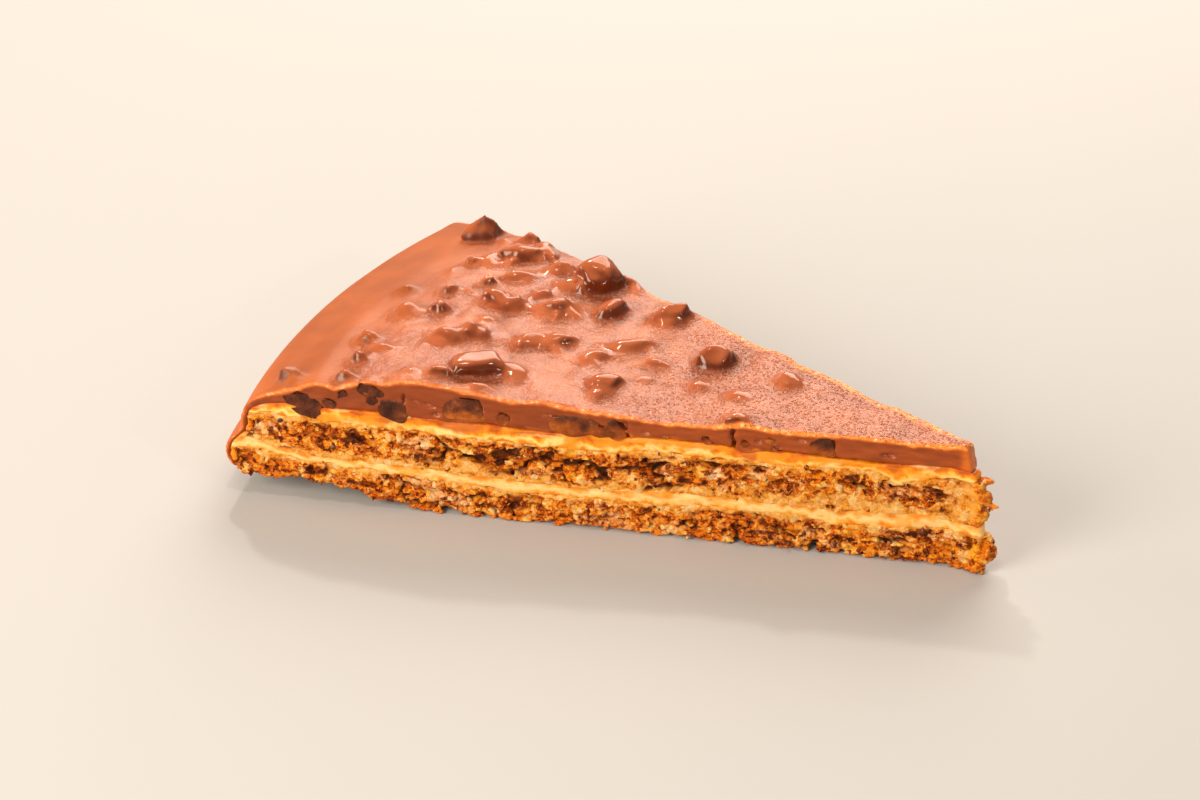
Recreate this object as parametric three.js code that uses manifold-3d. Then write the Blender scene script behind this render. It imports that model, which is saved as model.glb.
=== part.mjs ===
// A slice of almond toffee cake: two almond sponges, two layers of butter cream, and milk chocolate with
// chopped toffee on top, which runs down over the rim as a thin skin.
// Millimetres, +Z up. The slice stands on its underside, with its point towards +X and its round rim towards
// -X. The near cut looks towards -Y and the far cut towards +Y. The origin is under the middle of its box.
import * as THREE from 'three';
import { mergeVertices } from 'three/addons/utils/BufferGeometryUtils.js';
import Module from 'manifold-3d';

const wasm = await Module();
wasm.setup();
const { degToRad, lerp, clamp, smoothstep } = THREE.MathUtils;

// Driving dimensions of the whole cake and of the knife's cuts.
const cakeRadius = 130;
const sliceDegrees = 33; // one of eleven slices
const sliceAngle = degToRad(sliceDegrees);
const centreX = 65.81; // where the middle of the whole cake lies, at the slice's point
const pointHalf = 1.3; // half the width of the blunt point
const pointReach = 7; // how far from the cake's middle the point stays blunt
const slit = 0.3; // between two layers, and between a layer and the skin

// The layers' edges at the cuts, as [radius, height]. They run level, and are pushed up where the cake's
// side begins.
const baseTopLine = [[0, 6.9], [60, 6.5], [90, 6.5], [104, 7.2], [118, 8.2], [125, 9.5], [132, 9.6]];
const lowerCreamTopLine = [
  [0, 9.9], [45, 9.7], [75, 9], [95, 9.2], [118, 9.8], [123, 10.7], [128, 12.2], [132, 10.6],
];
const middleTopLine = [[0, 17.4], [45, 17], [70, 16.4], [90, 16.4], [118, 17.1], [124, 17.4], [129, 17.1]];
const upperCreamTopLine = [[0, 19.9], [50, 20], [80, 19.4], [118, 19.6], [124, 19.4], [129, 18]];
// The chocolate swells over the toffee along the near cut, and lies level along the far one.
const chocolateNearLine = [
  [0, 24.6], [30, 24.6], [50, 24.1], [66, 23.9], [70, 25.3], [90, 26.2], [100, 27.1], [109, 26.2],
  [112, 25.2], [118, 24.5], [121, 22.7], [125, 21.9], [127.6, 20.8],
];
const chocolateFarLine = [[0, 24.4], [95, 24.4], [106, 24], [120, 21.6], [127.6, 19.6]];
const rimLift = 3.6; // how far the base curls up off the plate towards the rim
const rimLiftFrom = 98;
const rimLiftTo = 116;

// The skin's outer face down the rim, as [radius, height, thickness of the skin there].
const skinLine = [
  [129.7, 18, 1.2], [130.5, 16, 1.2], [130.5, 14, 1.2], [131.9, 12, 1.1], [133.2, 10.2, 1.1],
  [133.5, 8.4, 1.1], [133, 6.5, 1],
];
const skinSlope = 0.9; // how far the skin's inner face drops below its outer one where the skin leans
const skinLip = [131.6, 5, 0.5]; // its lower edge, where it tucks under

// Each layer: where it starts at the point and ends at the rim, how long its rounded end is, how rough the
// knife left it, and how many rows of facets it has across the slice and from bottom to top.
const base = { from: -1.2, to: 130.9, endRound: 3, cragDepth: 0.75, across: 6, rows: 4, seed: 300 };
const lowerCream = { from: -0.9, to: 131.2, endRound: 0.8, cragDepth: 0.2, across: 4, rows: 2, seed: 400 };
const middle = { from: -0.5, to: 128.7, endRound: 2.4, cragDepth: 0.75, across: 4, rows: 4, seed: 500 };
const upperCream = { from: 0.6, to: 127.8, endRound: 1.2, cragDepth: 0.2, across: 4, rows: 2, seed: 600 };
const chocolate = { from: 2.6, to: 127.6, cragDepth: 0.12, across: 8, rows: 2, seed: 700 };
const stationStep = 3; // length of a facet along the slice
const rimStationStep = 1.6; // the same, where the rim begins
const rimFrom = 117;
const thinEnd = 0.4; // share of a layer's thickness that is left at its rounded end
const wander = 0.45; // how far the layers' edges wander up and down
const wanderLength = 13;

// Toffee lumps under the chocolate: [radius, degrees off the slice's middle line, length, width, how high it
// stands out, degrees that its length is turned].
const lumps = [
  [85.3, 13.3, 8.5, 7.2, 6, 35], [102.1, 12.5, 11.5, 3.9, 3.2, 31], [89.8, -11.7, 8.7, 4.8, 3.9, 39],
  [53, 5.3, 7.1, 5.6, 3.7, 38], [95.8, 2.4, 8.3, 4.2, 2.6, -11], [85.5, 4.8, 7.3, 4.4, 3, 36],
  [68.1, 2, 10.6, 3, 2, 39], [67.2, 13.2, 6.7, 4.6, 3.6, 45], [77.2, 8.5, 6.7, 4.4, 3.3, 50],
  [67.2, -9.8, 7, 4.2, 2.9, 46], [97.9, -7.2, 6.1, 4.6, 2.4, 33], [115.7, 14.6, 6.9, 4, 4.9, 37],
  [79.6, -2, 7.2, 3.8, 2.5, 36], [109, -2.8, 5.1, 5, 1.4, 33], [84.4, -3.5, 6.4, 3.8, 2.3, 51],
  [83.3, -11, 4.2, 5, 2, 64], [94.6, -5, 4.9, 4.2, 3, 53], [121.7, -15, 5.4, 3.6, 2.3, 10],
  [97.8, 8.5, 6.6, 2.8, 1.9, 39], [93.6, 12.8, 5.7, 3.2, 2.2, 43], [38.5, 6.1, 4.5, 3.8, 2.5, 35],
  [72.3, -3.2, 6, 2.6, 1.8, 48], [103.8, -1.5, 4.2, 3.6, 2.6, 47], [95.4, -14.5, 5, 2.8, 2.1, 39],
  [42.6, -14.6, 4.3, 2.6, 1.8, 28],
];
const lumpSink = 2.3; // how far a lump reaches into the chocolate
const longLump = 7.8; // a lump this long has more facets
const lumpRoughness = 0.2;
// Small bits of toffee, strewn between the lumps from one radius to the other.
const bits = { count: 16, from: 40, to: 116, smallest: 2.2, largest: 3.8, rise: 1.5, seed: 7000 };
// Toffee that the knife has laid bare in the near cut: [radius, height, length, height of the piece].
const bareToffee = [
  [119.2, 21.2, 3.6, 2.2], [107, 24.2, 3.6, 2], [103, 21.2, 4, 3], [89.5, 22, 6, 3.4],
  [70, 21.9, 6.4, 2.2], [63.5, 21.4, 3.4, 2.8],
];
const bareDepth = 2;
const bareProud = 0.45; // how far it stands out of the cut
// The crumb that hangs on to the point of the base.
const pointCrumb = { radius: 1.2, share: -1, height: 2.7, size: 4 };

// A repeatable number from -1 to 1 for three whole numbers.
function chance(a, b, c) {
  let h = Math.imul(a + 101, 374761393) ^ Math.imul(b + 211, 668265263) ^ Math.imul(c + 307, 2146121005);
  h = Math.imul(h ^ (h >>> 13), 1274126177);
  h = Math.imul(h ^ (h >>> 15), 2246822519);
  return (((h ^ (h >>> 16)) >>> 0) / 2 ** 32) * 2 - 1;
}

// The height of a line of [radius, height] points at a radius.
function heightOn(line, radius) {
  const next = line.findIndex(([r]) => r > radius);
  if (next === 0) return line[0][1];
  if (next < 0) return line[line.length - 1][1];
  const [r0, h0] = line[next - 1];
  const [r1, h1] = line[next];
  return lerp(h0, h1, (radius - r0) / (r1 - r0));
}

// How far a layer's edge wanders at a radius. It differs at the two cuts, and runs straight between them.
function wanderAt(radius, share, seed) {
  const along = Math.max(0, radius) / wanderLength;
  const cell = Math.floor(along);
  const blend = smoothstep(along - cell, 0, 1);
  const atCut = (which) => lerp(chance(cell, which, seed), chance(cell + 1, which, seed), blend);
  return wander * lerp(atCut(1), atCut(2), (share + 1) / 2) * (1 - smoothstep(radius, 108, 126));
}

// The boundaries between the layers, each as a height over the plan.
const underside = (radius) => rimLift * smoothstep(radius, rimLiftFrom, rimLiftTo);
const baseTop = (radius, share) => heightOn(baseTopLine, radius) + wanderAt(radius, share, 11);
const lowerCreamTop = (radius, share) => heightOn(lowerCreamTopLine, radius) + wanderAt(radius, share, 12);
const middleTop = (radius, share) => heightOn(middleTopLine, radius) + wanderAt(radius, share, 13);
const upperCreamTop = (radius, share) => heightOn(upperCreamTopLine, radius) + wanderAt(radius, share, 14);
const chocolateTop = (radius, share) =>
  lerp(heightOn(chocolateNearLine, radius), heightOn(chocolateFarLine, radius), (share + 1) / 2);

// The point at a radius and a share across the slice, from -1 at the near cut to 1 at the far cut, moved out
// of the cut by so much.
function planPoint(radius, share, out, height) {
  const angle = (share * sliceAngle) / 2;
  const reach = Math.max(radius, 0);
  const blunt = pointHalf * clamp(1 - radius / pointReach, 0, 1) ** 2;
  const side = Math.sign(share) * out;
  return new THREE.Vector3(
    centreX - reach * Math.cos(angle) - Math.min(radius, 0) + Math.sin(angle) * side,
    reach * Math.sin(angle) + share * blunt + Math.cos(angle) * side,
    height,
  );
}

// A block of nu by nv by nw cells, bent to shape by its point function. Only its six sides are made.
function bentBlock(nu, nv, nw, point) {
  const corners = [];
  const side = (n, m, at) => {
    for (let i = 0; i < n; i++) {
      for (let j = 0; j < m; j++) {
        const [a, b, c, d] = [at(i, j), at(i + 1, j), at(i + 1, j + 1), at(i, j + 1)];
        if ((i + j) % 2) corners.push(a, c, b, a, d, c);
        else corners.push(a, d, b, b, d, c);
      }
    }
  };
  side(nv, nu, (j, i) => point(i, j, 0));
  side(nu, nv, (i, j) => point(i, j, nw));
  side(nu, nw, (i, k) => point(i, 0, k));
  side(nw, nu, (k, i) => point(i, nv, k));
  side(nw, nv, (k, j) => point(0, j, k));
  side(nv, nw, (j, k) => point(nu, j, k));
  return new THREE.BufferGeometry().setFromPoints(corners);
}

// The radii of a layer's facets from one end to the other, closer together where the rim begins.
function stationsFor({ from, to }) {
  const radii = [from];
  const inner = Math.ceil((rimFrom - from) / stationStep);
  for (let i = 1; i <= inner; i++) radii.push(lerp(from, rimFrom, i / inner));
  const outer = Math.ceil((to - rimFrom) / rimStationStep);
  for (let i = 1; i <= outer; i++) radii.push(lerp(rimFrom, to, i / outer));
  return radii;
}

function solidFrom(geometry) {
  const bare = new THREE.BufferGeometry().setAttribute('position', geometry.getAttribute('position'));
  bare.setIndex(geometry.index);
  const merged = mergeVertices(bare, 1e-4);
  return new wasm.Manifold(
    new wasm.Mesh({
      numProp: 3,
      vertProperties: new Float32Array(merged.attributes.position.array),
      triVerts: new Uint32Array(merged.index.array),
    }),
  );
}

function geometryFrom(solid) {
  const mesh = solid.getMesh();
  const points = new Float32Array(mesh.numVert * 3);
  for (let i = 0; i < mesh.numVert; i++) {
    points.set(mesh.vertProperties.subarray(i * mesh.numProp, i * mesh.numProp + 3), i * 3);
  }
  const geometry = new THREE.BufferGeometry().setAttribute('position', new THREE.BufferAttribute(points, 3));
  return geometry.setIndex(new THREE.BufferAttribute(mesh.triVerts, 1));
}

// A sponge or a cream: a flat layer between two boundaries, with a rounded end at the rim and crags where it
// was cut.
function layerSolid(layer, bottomAt, topAt) {
  const { to, endRound, cragDepth, across, rows, seed } = layer;
  const radii = stationsFor(layer);
  const block = bentBlock(radii.length - 1, across, rows, (i, j, k) => {
    const radius = radii[i];
    const share = (j / across) * 2 - 1;
    const intoEnd = clamp((radius - (to - endRound)) / endRound, 0, 1);
    const kept = lerp(thinEnd, 1, Math.sqrt(1 - intoEnd ** 2));
    const [bottom, top] = [bottomAt(radius, share), topAt(radius, share)];
    const height = (bottom + top) / 2 + (k / rows - 0.5) * (top - bottom) * kept;
    const out = j === 0 || j === across ? cragDepth * chance(i, k, seed + j) : 0;
    const forward = i === 0 ? cragDepth * chance(j, k, seed + 50) : 0;
    return planPoint(radius - forward, share, out, height);
  });
  return solidFrom(block);
}

const lowered = (boundary) => (radius, share) => boundary(radius, share) - slit / 2;
const raised = (boundary) => (radius, share) => boundary(radius, share) + slit / 2;

// A rough lump about a centre, with its length turned by so many degrees.
function lumpSolid(centre, [length, width, height], turn, facets, seed) {
  const ball = new THREE.IcosahedronGeometry(1, facets);
  const at = ball.getAttribute('position');
  const point = new THREE.Vector3();
  for (let i = 0; i < at.count; i++) {
    point.fromBufferAttribute(at, i);
    const [a, b, c] = point.toArray().map((v) => Math.round(v * 50));
    point.multiplyScalar(1 + lumpRoughness * chance(a + seed, b, c));
    at.setXYZ(i, point.x, point.y, point.z);
  }
  ball.scale(length / 2, width / 2, height / 2);
  ball.rotateZ(degToRad(turn));
  ball.translate(centre.x, centre.y, centre.z);
  return solidFrom(ball);
}

// A lump that stands out of the chocolate by its rise.
function lumpOnTop([radius, degrees, length, width, rise, turn], facets, seed) {
  const share = (2 * degrees) / sliceDegrees;
  const height = rise + lumpSink;
  const centre = planPoint(radius, share, 0, chocolateTop(radius, share) + rise - height / 2);
  return lumpSolid(centre, [length, width, height], turn, facets, seed);
}

function bitsOnTop() {
  const { count, from, to, smallest, largest, rise, seed } = bits;
  return Array.from({ length: count }, (_, n) => {
    const draw = (which) => (chance(n, which, seed) + 1) / 2;
    const radius = Math.sqrt(lerp(from ** 2, to ** 2, (n + draw(1)) / count));
    const degrees = lerp(-0.42, 0.42, draw(2)) * sliceDegrees;
    const length = lerp(smallest, largest, draw(3));
    return lumpOnTop([radius, degrees, length, length * 0.75, rise, 180 * draw(4)], 0, seed + n);
  });
}

// The space between the two cuts, which trims the lumps that the knife went through.
function betweenCuts() {
  const [reach, half] = [cakeRadius * 1.2, sliceAngle / 2];
  const wedge = new THREE.Shape([
    new THREE.Vector2(centreX, 0),
    new THREE.Vector2(centreX - reach * Math.cos(half), reach * Math.sin(half)),
    new THREE.Vector2(centreX - reach * Math.cos(half), -reach * Math.sin(half)),
  ]);
  return solidFrom(new THREE.ExtrudeGeometry(wedge, { depth: cakeRadius / 2, bevelEnabled: false }));
}

// The coat: a slab over the upper cream that turns down over the rim and goes on as the skin.
function coatSolid() {
  const { cragDepth, across, rows, seed } = chocolate;
  const radii = stationsFor(chocolate);
  const underneath = raised(upperCreamTop);
  const skin = skinLine.map(([radius, height, thickness], n) => {
    const [nextRadius, nextHeight] = n + 1 < skinLine.length ? skinLine[n + 1] : skinLip;
    const way = new THREE.Vector2(nextRadius - radius, nextHeight - height).normalize();
    const inner = [radius + way.y * thickness, height - way.x * thickness * skinSlope];
    return { inner, outer: [radius, height] };
  });
  const [lipRadius, lipHeight, lipThickness] = skinLip;
  const lipInner = [lipRadius - lipThickness / 5, lipHeight + lipThickness];
  skin.push({ inner: lipInner, outer: [lipRadius, lipHeight] });
  const columns = radii.length + skin.length;
  const block = bentBlock(columns - 1, across, rows, (i, j, k) => {
    const share = (j / across) * 2 - 1;
    const out = j === 0 || j === across ? cragDepth * chance(i, k, seed + j) : 0;
    if (i < radii.length) {
      const radius = radii[i];
      const height = lerp(underneath(radius, share), chocolateTop(radius, share), k / rows);
      return planPoint(radius, share, out, height);
    }
    const { inner, outer } = skin[i - radii.length];
    return planPoint(lerp(inner[0], outer[0], k / rows), share, out, lerp(inner[1], outer[1], k / rows));
  });
  return solidFrom(block);
}

function chocolateSolid() {
  const onTop = lumps.map((lump, n) => lumpOnTop(lump, lump[2] > longLump ? 2 : 1, 20 + n));
  const trimmed = wasm.Manifold.union([...onTop, ...bitsOnTop()]).intersect(betweenCuts());
  const bare = bareToffee.map(([radius, height, length, tall], n) => {
    const centre = planPoint(radius, -1, bareProud - bareDepth / 2, height);
    return lumpSolid(centre, [length, bareDepth, tall], sliceDegrees / 2, 0, 80 + n);
  });
  return wasm.Manifold.union([coatSolid(), trimmed, ...bare]);
}

function baseSolid() {
  const { radius, share, height, size } = pointCrumb;
  const crumb = lumpSolid(planPoint(radius, share, 0, height), [size, size, size], 15, 1, 900);
  return layerSolid(base, underside, lowered(baseTop)).add(crumb);
}

const spongeFinish = new THREE.MeshStandardMaterial({ color: 0xbf7a3a, roughness: 0.9, metalness: 0 });
const creamFinish = new THREE.MeshStandardMaterial({ color: 0xf4c46a, roughness: 0.45, metalness: 0 });
const chocolateFinish = new THREE.MeshStandardMaterial({ color: 0x9c5530, roughness: 0.35, metalness: 0 });

const slice = new THREE.Group();
for (const [name, solid, finish] of [
  ['base_sponge', baseSolid(), spongeFinish],
  ['lower_cream', layerSolid(lowerCream, raised(baseTop), lowered(lowerCreamTop)), creamFinish],
  ['middle_sponge', layerSolid(middle, raised(lowerCreamTop), lowered(middleTop)), spongeFinish],
  ['upper_cream', layerSolid(upperCream, raised(middleTop), lowered(upperCreamTop)), creamFinish],
  ['milk_chocolate', chocolateSolid(), chocolateFinish],
]) {
  const mesh = new THREE.Mesh(geometryFrom(solid), finish);
  mesh.name = name;
  slice.add(mesh);
}

export default slice;
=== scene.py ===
import math
import time

import bmesh
import bpy
import numpy as np
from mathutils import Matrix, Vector


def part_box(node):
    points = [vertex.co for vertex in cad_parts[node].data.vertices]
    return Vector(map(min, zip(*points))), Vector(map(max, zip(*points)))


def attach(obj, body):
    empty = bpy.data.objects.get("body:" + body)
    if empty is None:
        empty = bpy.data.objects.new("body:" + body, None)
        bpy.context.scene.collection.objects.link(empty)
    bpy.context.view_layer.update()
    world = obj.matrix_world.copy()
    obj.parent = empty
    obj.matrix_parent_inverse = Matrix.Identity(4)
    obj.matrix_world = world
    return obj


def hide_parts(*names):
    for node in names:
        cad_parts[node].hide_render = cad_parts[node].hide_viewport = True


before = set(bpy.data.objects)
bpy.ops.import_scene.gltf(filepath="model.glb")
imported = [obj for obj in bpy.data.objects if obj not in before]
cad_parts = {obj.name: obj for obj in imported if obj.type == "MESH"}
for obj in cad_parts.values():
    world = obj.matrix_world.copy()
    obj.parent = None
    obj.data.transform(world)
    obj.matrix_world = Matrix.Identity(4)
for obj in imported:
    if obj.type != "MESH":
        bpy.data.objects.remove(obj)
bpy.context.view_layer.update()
started = time.time()


def report(stage):
    print(f"{time.time() - started:6.1f} s  {stage}")


# Sizes are in millimetres here, and become metres when a mesh is made.
millimetre = 0.001
cake = {
    "edgeDetail": 3.5,  # how far into the slice the small ups and downs of a layer at the near cut reach
    "sliceDegrees": 33.0,
    "centreX": 65.81,  # the whole cake's middle, at the slice's point
    "pointHalf": 1.3,  # half the width of the blunt point
    "pointReach": 7.0,  # how far from the middle it stays blunt
    "rimLift": 3.6,  # how far the base curls up towards the rim
    "rimLiftFrom": 98.0,
    "rimLiftTo": 116.0,
}
halfAngle = math.radians(cake["sliceDegrees"] / 2)

# The camera stands where the photograph was taken from.
view = {
    "azimuth": 27.0,
    "elevation": 32.0,
    "distance": 600.0,
    "lens": 100.0,
    "aim": (-8.68, 3.26, 11.54),
}


def addCamera():
    turn = math.radians(view["azimuth"])
    rise = math.radians(view["elevation"])
    back = Vector((math.sin(turn) * math.cos(rise), -math.cos(turn) * math.cos(rise), math.sin(rise)))
    data = bpy.data.cameras.new("Camera")
    data.lens = view["lens"]
    data.sensor_width = 36.0
    data.clip_start = 0.01
    data.clip_end = 10.0
    camera = bpy.data.objects.new("Camera", data)
    camera.location = (Vector(view["aim"]) + back * view["distance"]) * millimetre
    camera.rotation_euler = (-back).to_track_quat("-Z", "Y").to_euler()
    bpy.context.scene.collection.objects.link(camera)
    bpy.context.scene.camera = camera


addCamera()
report("camera")


# Repeatable chance, noise and grains, for whole arrays of points at once.
def chance(i, j, k, seed):
    h = i.astype(np.uint32) * np.uint32(0x9E3779B1)
    h ^= j.astype(np.uint32) * np.uint32(0x85EBCA77)
    h ^= k.astype(np.uint32) * np.uint32(0xC2B2AE3D)
    h ^= np.uint32((seed * 0x27D4EB2F) & 0xFFFFFFFF)
    for shift, factor in ((15, 0x2C1B3C6D), (12, 0x297A2D39), (15, 1)):
        h ^= h >> np.uint32(shift)
        h *= np.uint32(factor)
    return h.astype(np.float32) / np.float32(2**32)


def softNoise(points, size, seed):  # from -1 to 1
    at = points / np.float32(size) if np.isscalar(size) else points / np.array(size, np.float32)
    cell = np.floor(at).astype(np.int32)
    f = at - cell
    f = f * f * (3 - 2 * f)
    total = np.zeros(len(points), np.float32)
    for corner in range(8):
        step = (corner & 1, corner >> 1 & 1, corner >> 2 & 1)
        weight = np.ones(len(points), np.float32)
        for axis in range(3):
            weight *= f[:, axis] if step[axis] else 1 - f[:, axis]
        total += weight * chance(*(cell[:, axis] + step[axis] for axis in range(3)), seed)
    return total * 2 - 1


def roughNoise(points, size, seed, octaves=3):
    total = np.zeros(len(points), np.float32)
    share = 0.55
    for octave in range(octaves):
        total += share * softNoise(points, np.array(size) / 2.03**octave, seed + 17 * octave)
        share *= 0.5
    return total


def grains(points, size, seed):
    at = points / np.array(size, np.float32)
    home = np.floor(at - 0.5).astype(np.int32)
    nearest = np.full(len(points), 9.0, np.float32)
    second = np.full(len(points), 9.0, np.float32)
    who = np.zeros(len(points), np.float32)
    for corner in range(8):
        cell = [home[:, axis] + (corner >> axis & 1) for axis in range(3)]
        away = np.zeros(len(points), np.float32)
        for axis in range(3):
            seat = cell[axis] + 0.5 + 0.75 * (chance(*cell, seed + axis) - 0.5)
            away += (at[:, axis] - seat) ** 2
        away = np.sqrt(away)
        second = np.minimum(second, np.maximum(nearest, away))
        closer = away < nearest
        who = np.where(closer, chance(*cell, seed + 3), who)
        nearest = np.minimum(nearest, away)
    return nearest, second - nearest, who


def blendMax(a, b, reach):
    h = np.clip(0.5 + 0.5 * (a - b) / reach, 0, 1)
    return b + (a - b) * h + reach * h * (1 - h)


def blendMin(a, b, reach):
    return -blendMax(-a, -b, reach)


def ease(value, low, high):
    t = np.clip((value - low) / (high - low), 0, 1)
    return t * t * (3 - 2 * t)


# Where the layers meet, as (radius, height) along the near cut, and along the far one. Each wanders a
# little more.
layerEdges = {
    "baseTop": {
        "near": [(-4, 6.6), (2, 7.1), (6, 7.9), (10, 7.3), (14, 6.5), (26, 6.2), (30, 7.1), (45, 7.2),
                 (52, 6.7), (66, 6.3), (80, 6.0), (90, 6.5), (100, 7.3), (110, 7.6), (120, 8.5), (125, 9.2),
                 (128, 9.7), (133, 9.6)],
        "far": [(-4, 6.8), (60, 6.5), (90, 6.5), (104, 7.2), (118, 8.2), (125, 9.4), (133, 9.6)],
        "wander": 0.22, "seed": 3,
    },
    "lowerCreamTop": {
        "near": [(-4, 9.7), (5, 9.9), (11, 10.3), (16, 9.7), (20, 10.1), (25, 9.2), (38, 9.7), (50, 9.7),
                 (60, 9.0), (70, 8.5), (78, 8.7), (85, 8.8), (95, 9.2), (108, 9.5), (119, 9.6), (123, 10.2),
                 (127, 11.7), (129, 12.4), (131, 11.4), (133, 10.2)],
        "far": [(-4, 9.9), (45, 9.6), (75, 9.0), (95, 9.2), (118, 9.8), (123, 10.7), (128, 12.2),
                (133, 10.2)],
        "wander": 0.25, "seed": 5,
    },
    "middleTop": {
        "near": [(-4, 18.0), (6, 18.1), (9, 17.2), (12, 16.2), (15, 15.6), (17, 17.6), (21, 18.0),
                 (30, 17.2), (50, 17.0), (58, 17.2), (64, 16.1), (76, 16.1), (83, 16.4), (90, 16.0),
                 (97, 16.7), (110, 16.7), (122, 17.4), (129, 17.2)],
        "far": [(-4, 17.4), (45, 17.0), (70, 16.4), (90, 16.4), (118, 17.1), (124, 17.4), (129, 17.1)],
        "wander": 0.2, "seed": 7,
    },
    "upperCreamTop": {
        "near": [(-4, 19.6), (3, 20.2), (10, 20.1), (18, 19.5), (26, 19.7), (32, 20.0), (38, 19.7),
                 (41, 19.0), (44, 20.2), (56, 20.1), (62, 19.6), (66, 19.3), (69, 20.2), (74, 19.3),
                 (80, 19.1), (84, 19.6), (92, 19.3), (100, 19.7), (113, 19.7), (122, 19.9), (126, 19.2),
                 (129, 18.0)],
        "far": [(-4, 19.8), (50, 19.9), (80, 19.4), (118, 19.6), (124, 19.4), (129, 18.0)],
        "wander": 0.1, "seed": 9,
    },
    "chocolateTop": {
        "near": [(0, 25.2), (8, 24.7), (12, 24.5), (21, 25.0), (26, 24.7), (36, 24.4), (41, 24.9),
                 (44, 24.2), (49, 23.9), (54, 23.8), (61, 24.1), (66, 24.7), (71, 24.9), (76.5, 25.4),
                 (82, 25.2), (88.6, 25.9), (92, 26.4), (96.7, 27.0), (101.2, 27.0), (104.3, 26.0),
                 (107, 26.7), (110.1, 25.3), (112.5, 24.4), (114.6, 24.7), (116.6, 24.9), (119, 23.8),
                 (121.4, 22.6), (125, 21.7), (128, 20.5), (131, 18.6), (134, 15.0)],
        "far": [(0, 24.5), (95, 24.4), (106, 24.0), (120, 21.8), (127.6, 19.8), (131, 18.0), (134, 15.0)],
        "wander": 0.1, "seed": 11, "soft": 0.55,
    },
}


# A line through (place, value) points with its corners rounded off.
def smoothed(places, points, soft):
    away = np.linspace(-2, 2, 9)
    weights = np.exp(-(away**2))
    return sum(w * np.interp(places + a * soft, *zip(*points)) for a, w in zip(away, weights)) / weights.sum()


def spelledOut(edge):
    radii = np.arange(-5, 136, 0.5, dtype=np.float32)
    lines = []
    for side, points in enumerate((edge["near"], edge["far"])):
        at = np.stack([radii, np.full_like(radii, 31.7 * side), np.full_like(radii, edge["seed"] * 3.3)], 1)
        wandering = edge["wander"] * roughNoise(at, (4.0, 9.0, 9.0), edge["seed"])
        lines.append(smoothed(radii, points, edge.get("soft", 0.8)) + wandering)
    broad = smoothed(radii, edge["near"], 4.0)
    lines.append(broad + (lines[0] - broad) * ease(radii, 112, 120))
    return radii, lines


layerLines = {name: spelledOut(edge) for name, edge in layerEdges.items()}


def edgeHeight(name, radius, share):
    radii, (near, far, broad) = layerLines[name]
    atCut = np.exp(-(((share + 1) * halfAngle * radius / cake["edgeDetail"]) ** 2))
    atNear = np.interp(radius, radii, near) * atCut + np.interp(radius, radii, broad) * (1 - atCut)
    atFar = np.interp(radius, radii, far)
    return (atNear + (atFar - atNear) * (share + 1) / 2).astype(np.float32)


def underside(radius):
    return cake["rimLift"] * ease(radius, cake["rimLiftFrom"], cake["rimLiftTo"])


# Where a point lies in the slice: its way from the point, radius, share from cut to cut, and distance out
# of the cut.
def planOf(points):
    u = cake["centreX"] - points[..., 0]
    v = points[..., 1]
    blunt = cake["pointHalf"] * np.clip(1 - u / cake["pointReach"], 0, 1.0) ** 2
    cut = (np.abs(v) - blunt) * math.cos(halfAngle) - u * math.sin(halfAngle)
    share = np.clip(v / np.maximum(u * math.tan(halfAngle), 1.2), -1, 1)
    return u, np.hypot(u, v), share, cut


# A grid of points whose rows follow both cuts, close together there and wide apart between them.
def wedgeGrid(step, heights, depths, between):
    x = np.arange(cake["centreX"] - 135, cake["centreX"] + 5, step, dtype=np.float32)
    u = cake["centreX"] - x
    blunt = cake["pointHalf"] * np.clip(1 - u / cake["pointReach"], 0, 1) ** 2
    half = np.maximum(u, 0) * math.tan(halfAngle) + blunt
    squeeze = np.minimum(1, half / (depths[-1] + 0.8))
    near = [depth * (squeeze if depth > 0 else 1) - half for depth in depths]
    rest = half - depths[-1] * squeeze
    middle = [share * rest for share in np.linspace(-1, 1, between + 2)[1:-1]]
    y = np.stack(near + middle + [-row for row in reversed(near)], 1)
    grid = np.empty(y.shape + (len(heights), 3), np.float32)
    grid[..., 0] = x[:, None, None]
    grid[..., 1] = y[:, :, None]
    grid[..., 2] = heights
    return grid


# The skin where a field of values on a grid changes sign, as points and four-sided faces.
def skinOf(values, grid):
    inside = values < 0
    cells = np.array(values.shape) - 1
    crossings, owners, flips = [], [], []
    for axis in range(3):
        low = [slice(None)] * 3
        high = [slice(None)] * 3
        low[axis], high[axis] = slice(0, -1), slice(1, None)
        low, high = tuple(low), tuple(high)
        at = np.argwhere(inside[low] != inside[high])
        others = [(axis + 1) % 3, (axis + 2) % 3]
        for other in others:
            at = at[(at[:, other] > 0) & (at[:, other] < cells[other])]
        up = at.copy()
        up[:, axis] += 1
        first, last = values[tuple(at.T)], values[tuple(up.T)]
        t = (first / (first - last))[:, None]
        start, end = grid[tuple(at.T)], grid[tuple(up.T)]
        crossings.append(start + t * (end - start))
        around = []
        for a, b in ((-1, -1), (0, -1), (0, 0), (-1, 0)):
            cell = at.copy()
            cell[:, others[0]] += a
            cell[:, others[1]] += b
            around.append(np.ravel_multi_index(tuple(cell.T), tuple(cells)))
        owners.append(np.stack(around, 1))
        flips.append(first > 0)
    crossings = np.concatenate(crossings)
    owners = np.concatenate(owners)
    flips = np.concatenate(flips)
    used, faces = np.unique(owners, return_inverse=True)
    faces = faces.reshape(owners.shape)
    shares = np.bincount(faces.ravel(), minlength=len(used))
    points = np.stack(
        [np.bincount(faces.ravel(), np.repeat(crossings[:, axis], 4)) / shares for axis in range(3)], 1
    )
    faces[flips] = faces[flips][:, ::-1]
    return points.astype(np.float32), faces


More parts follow.
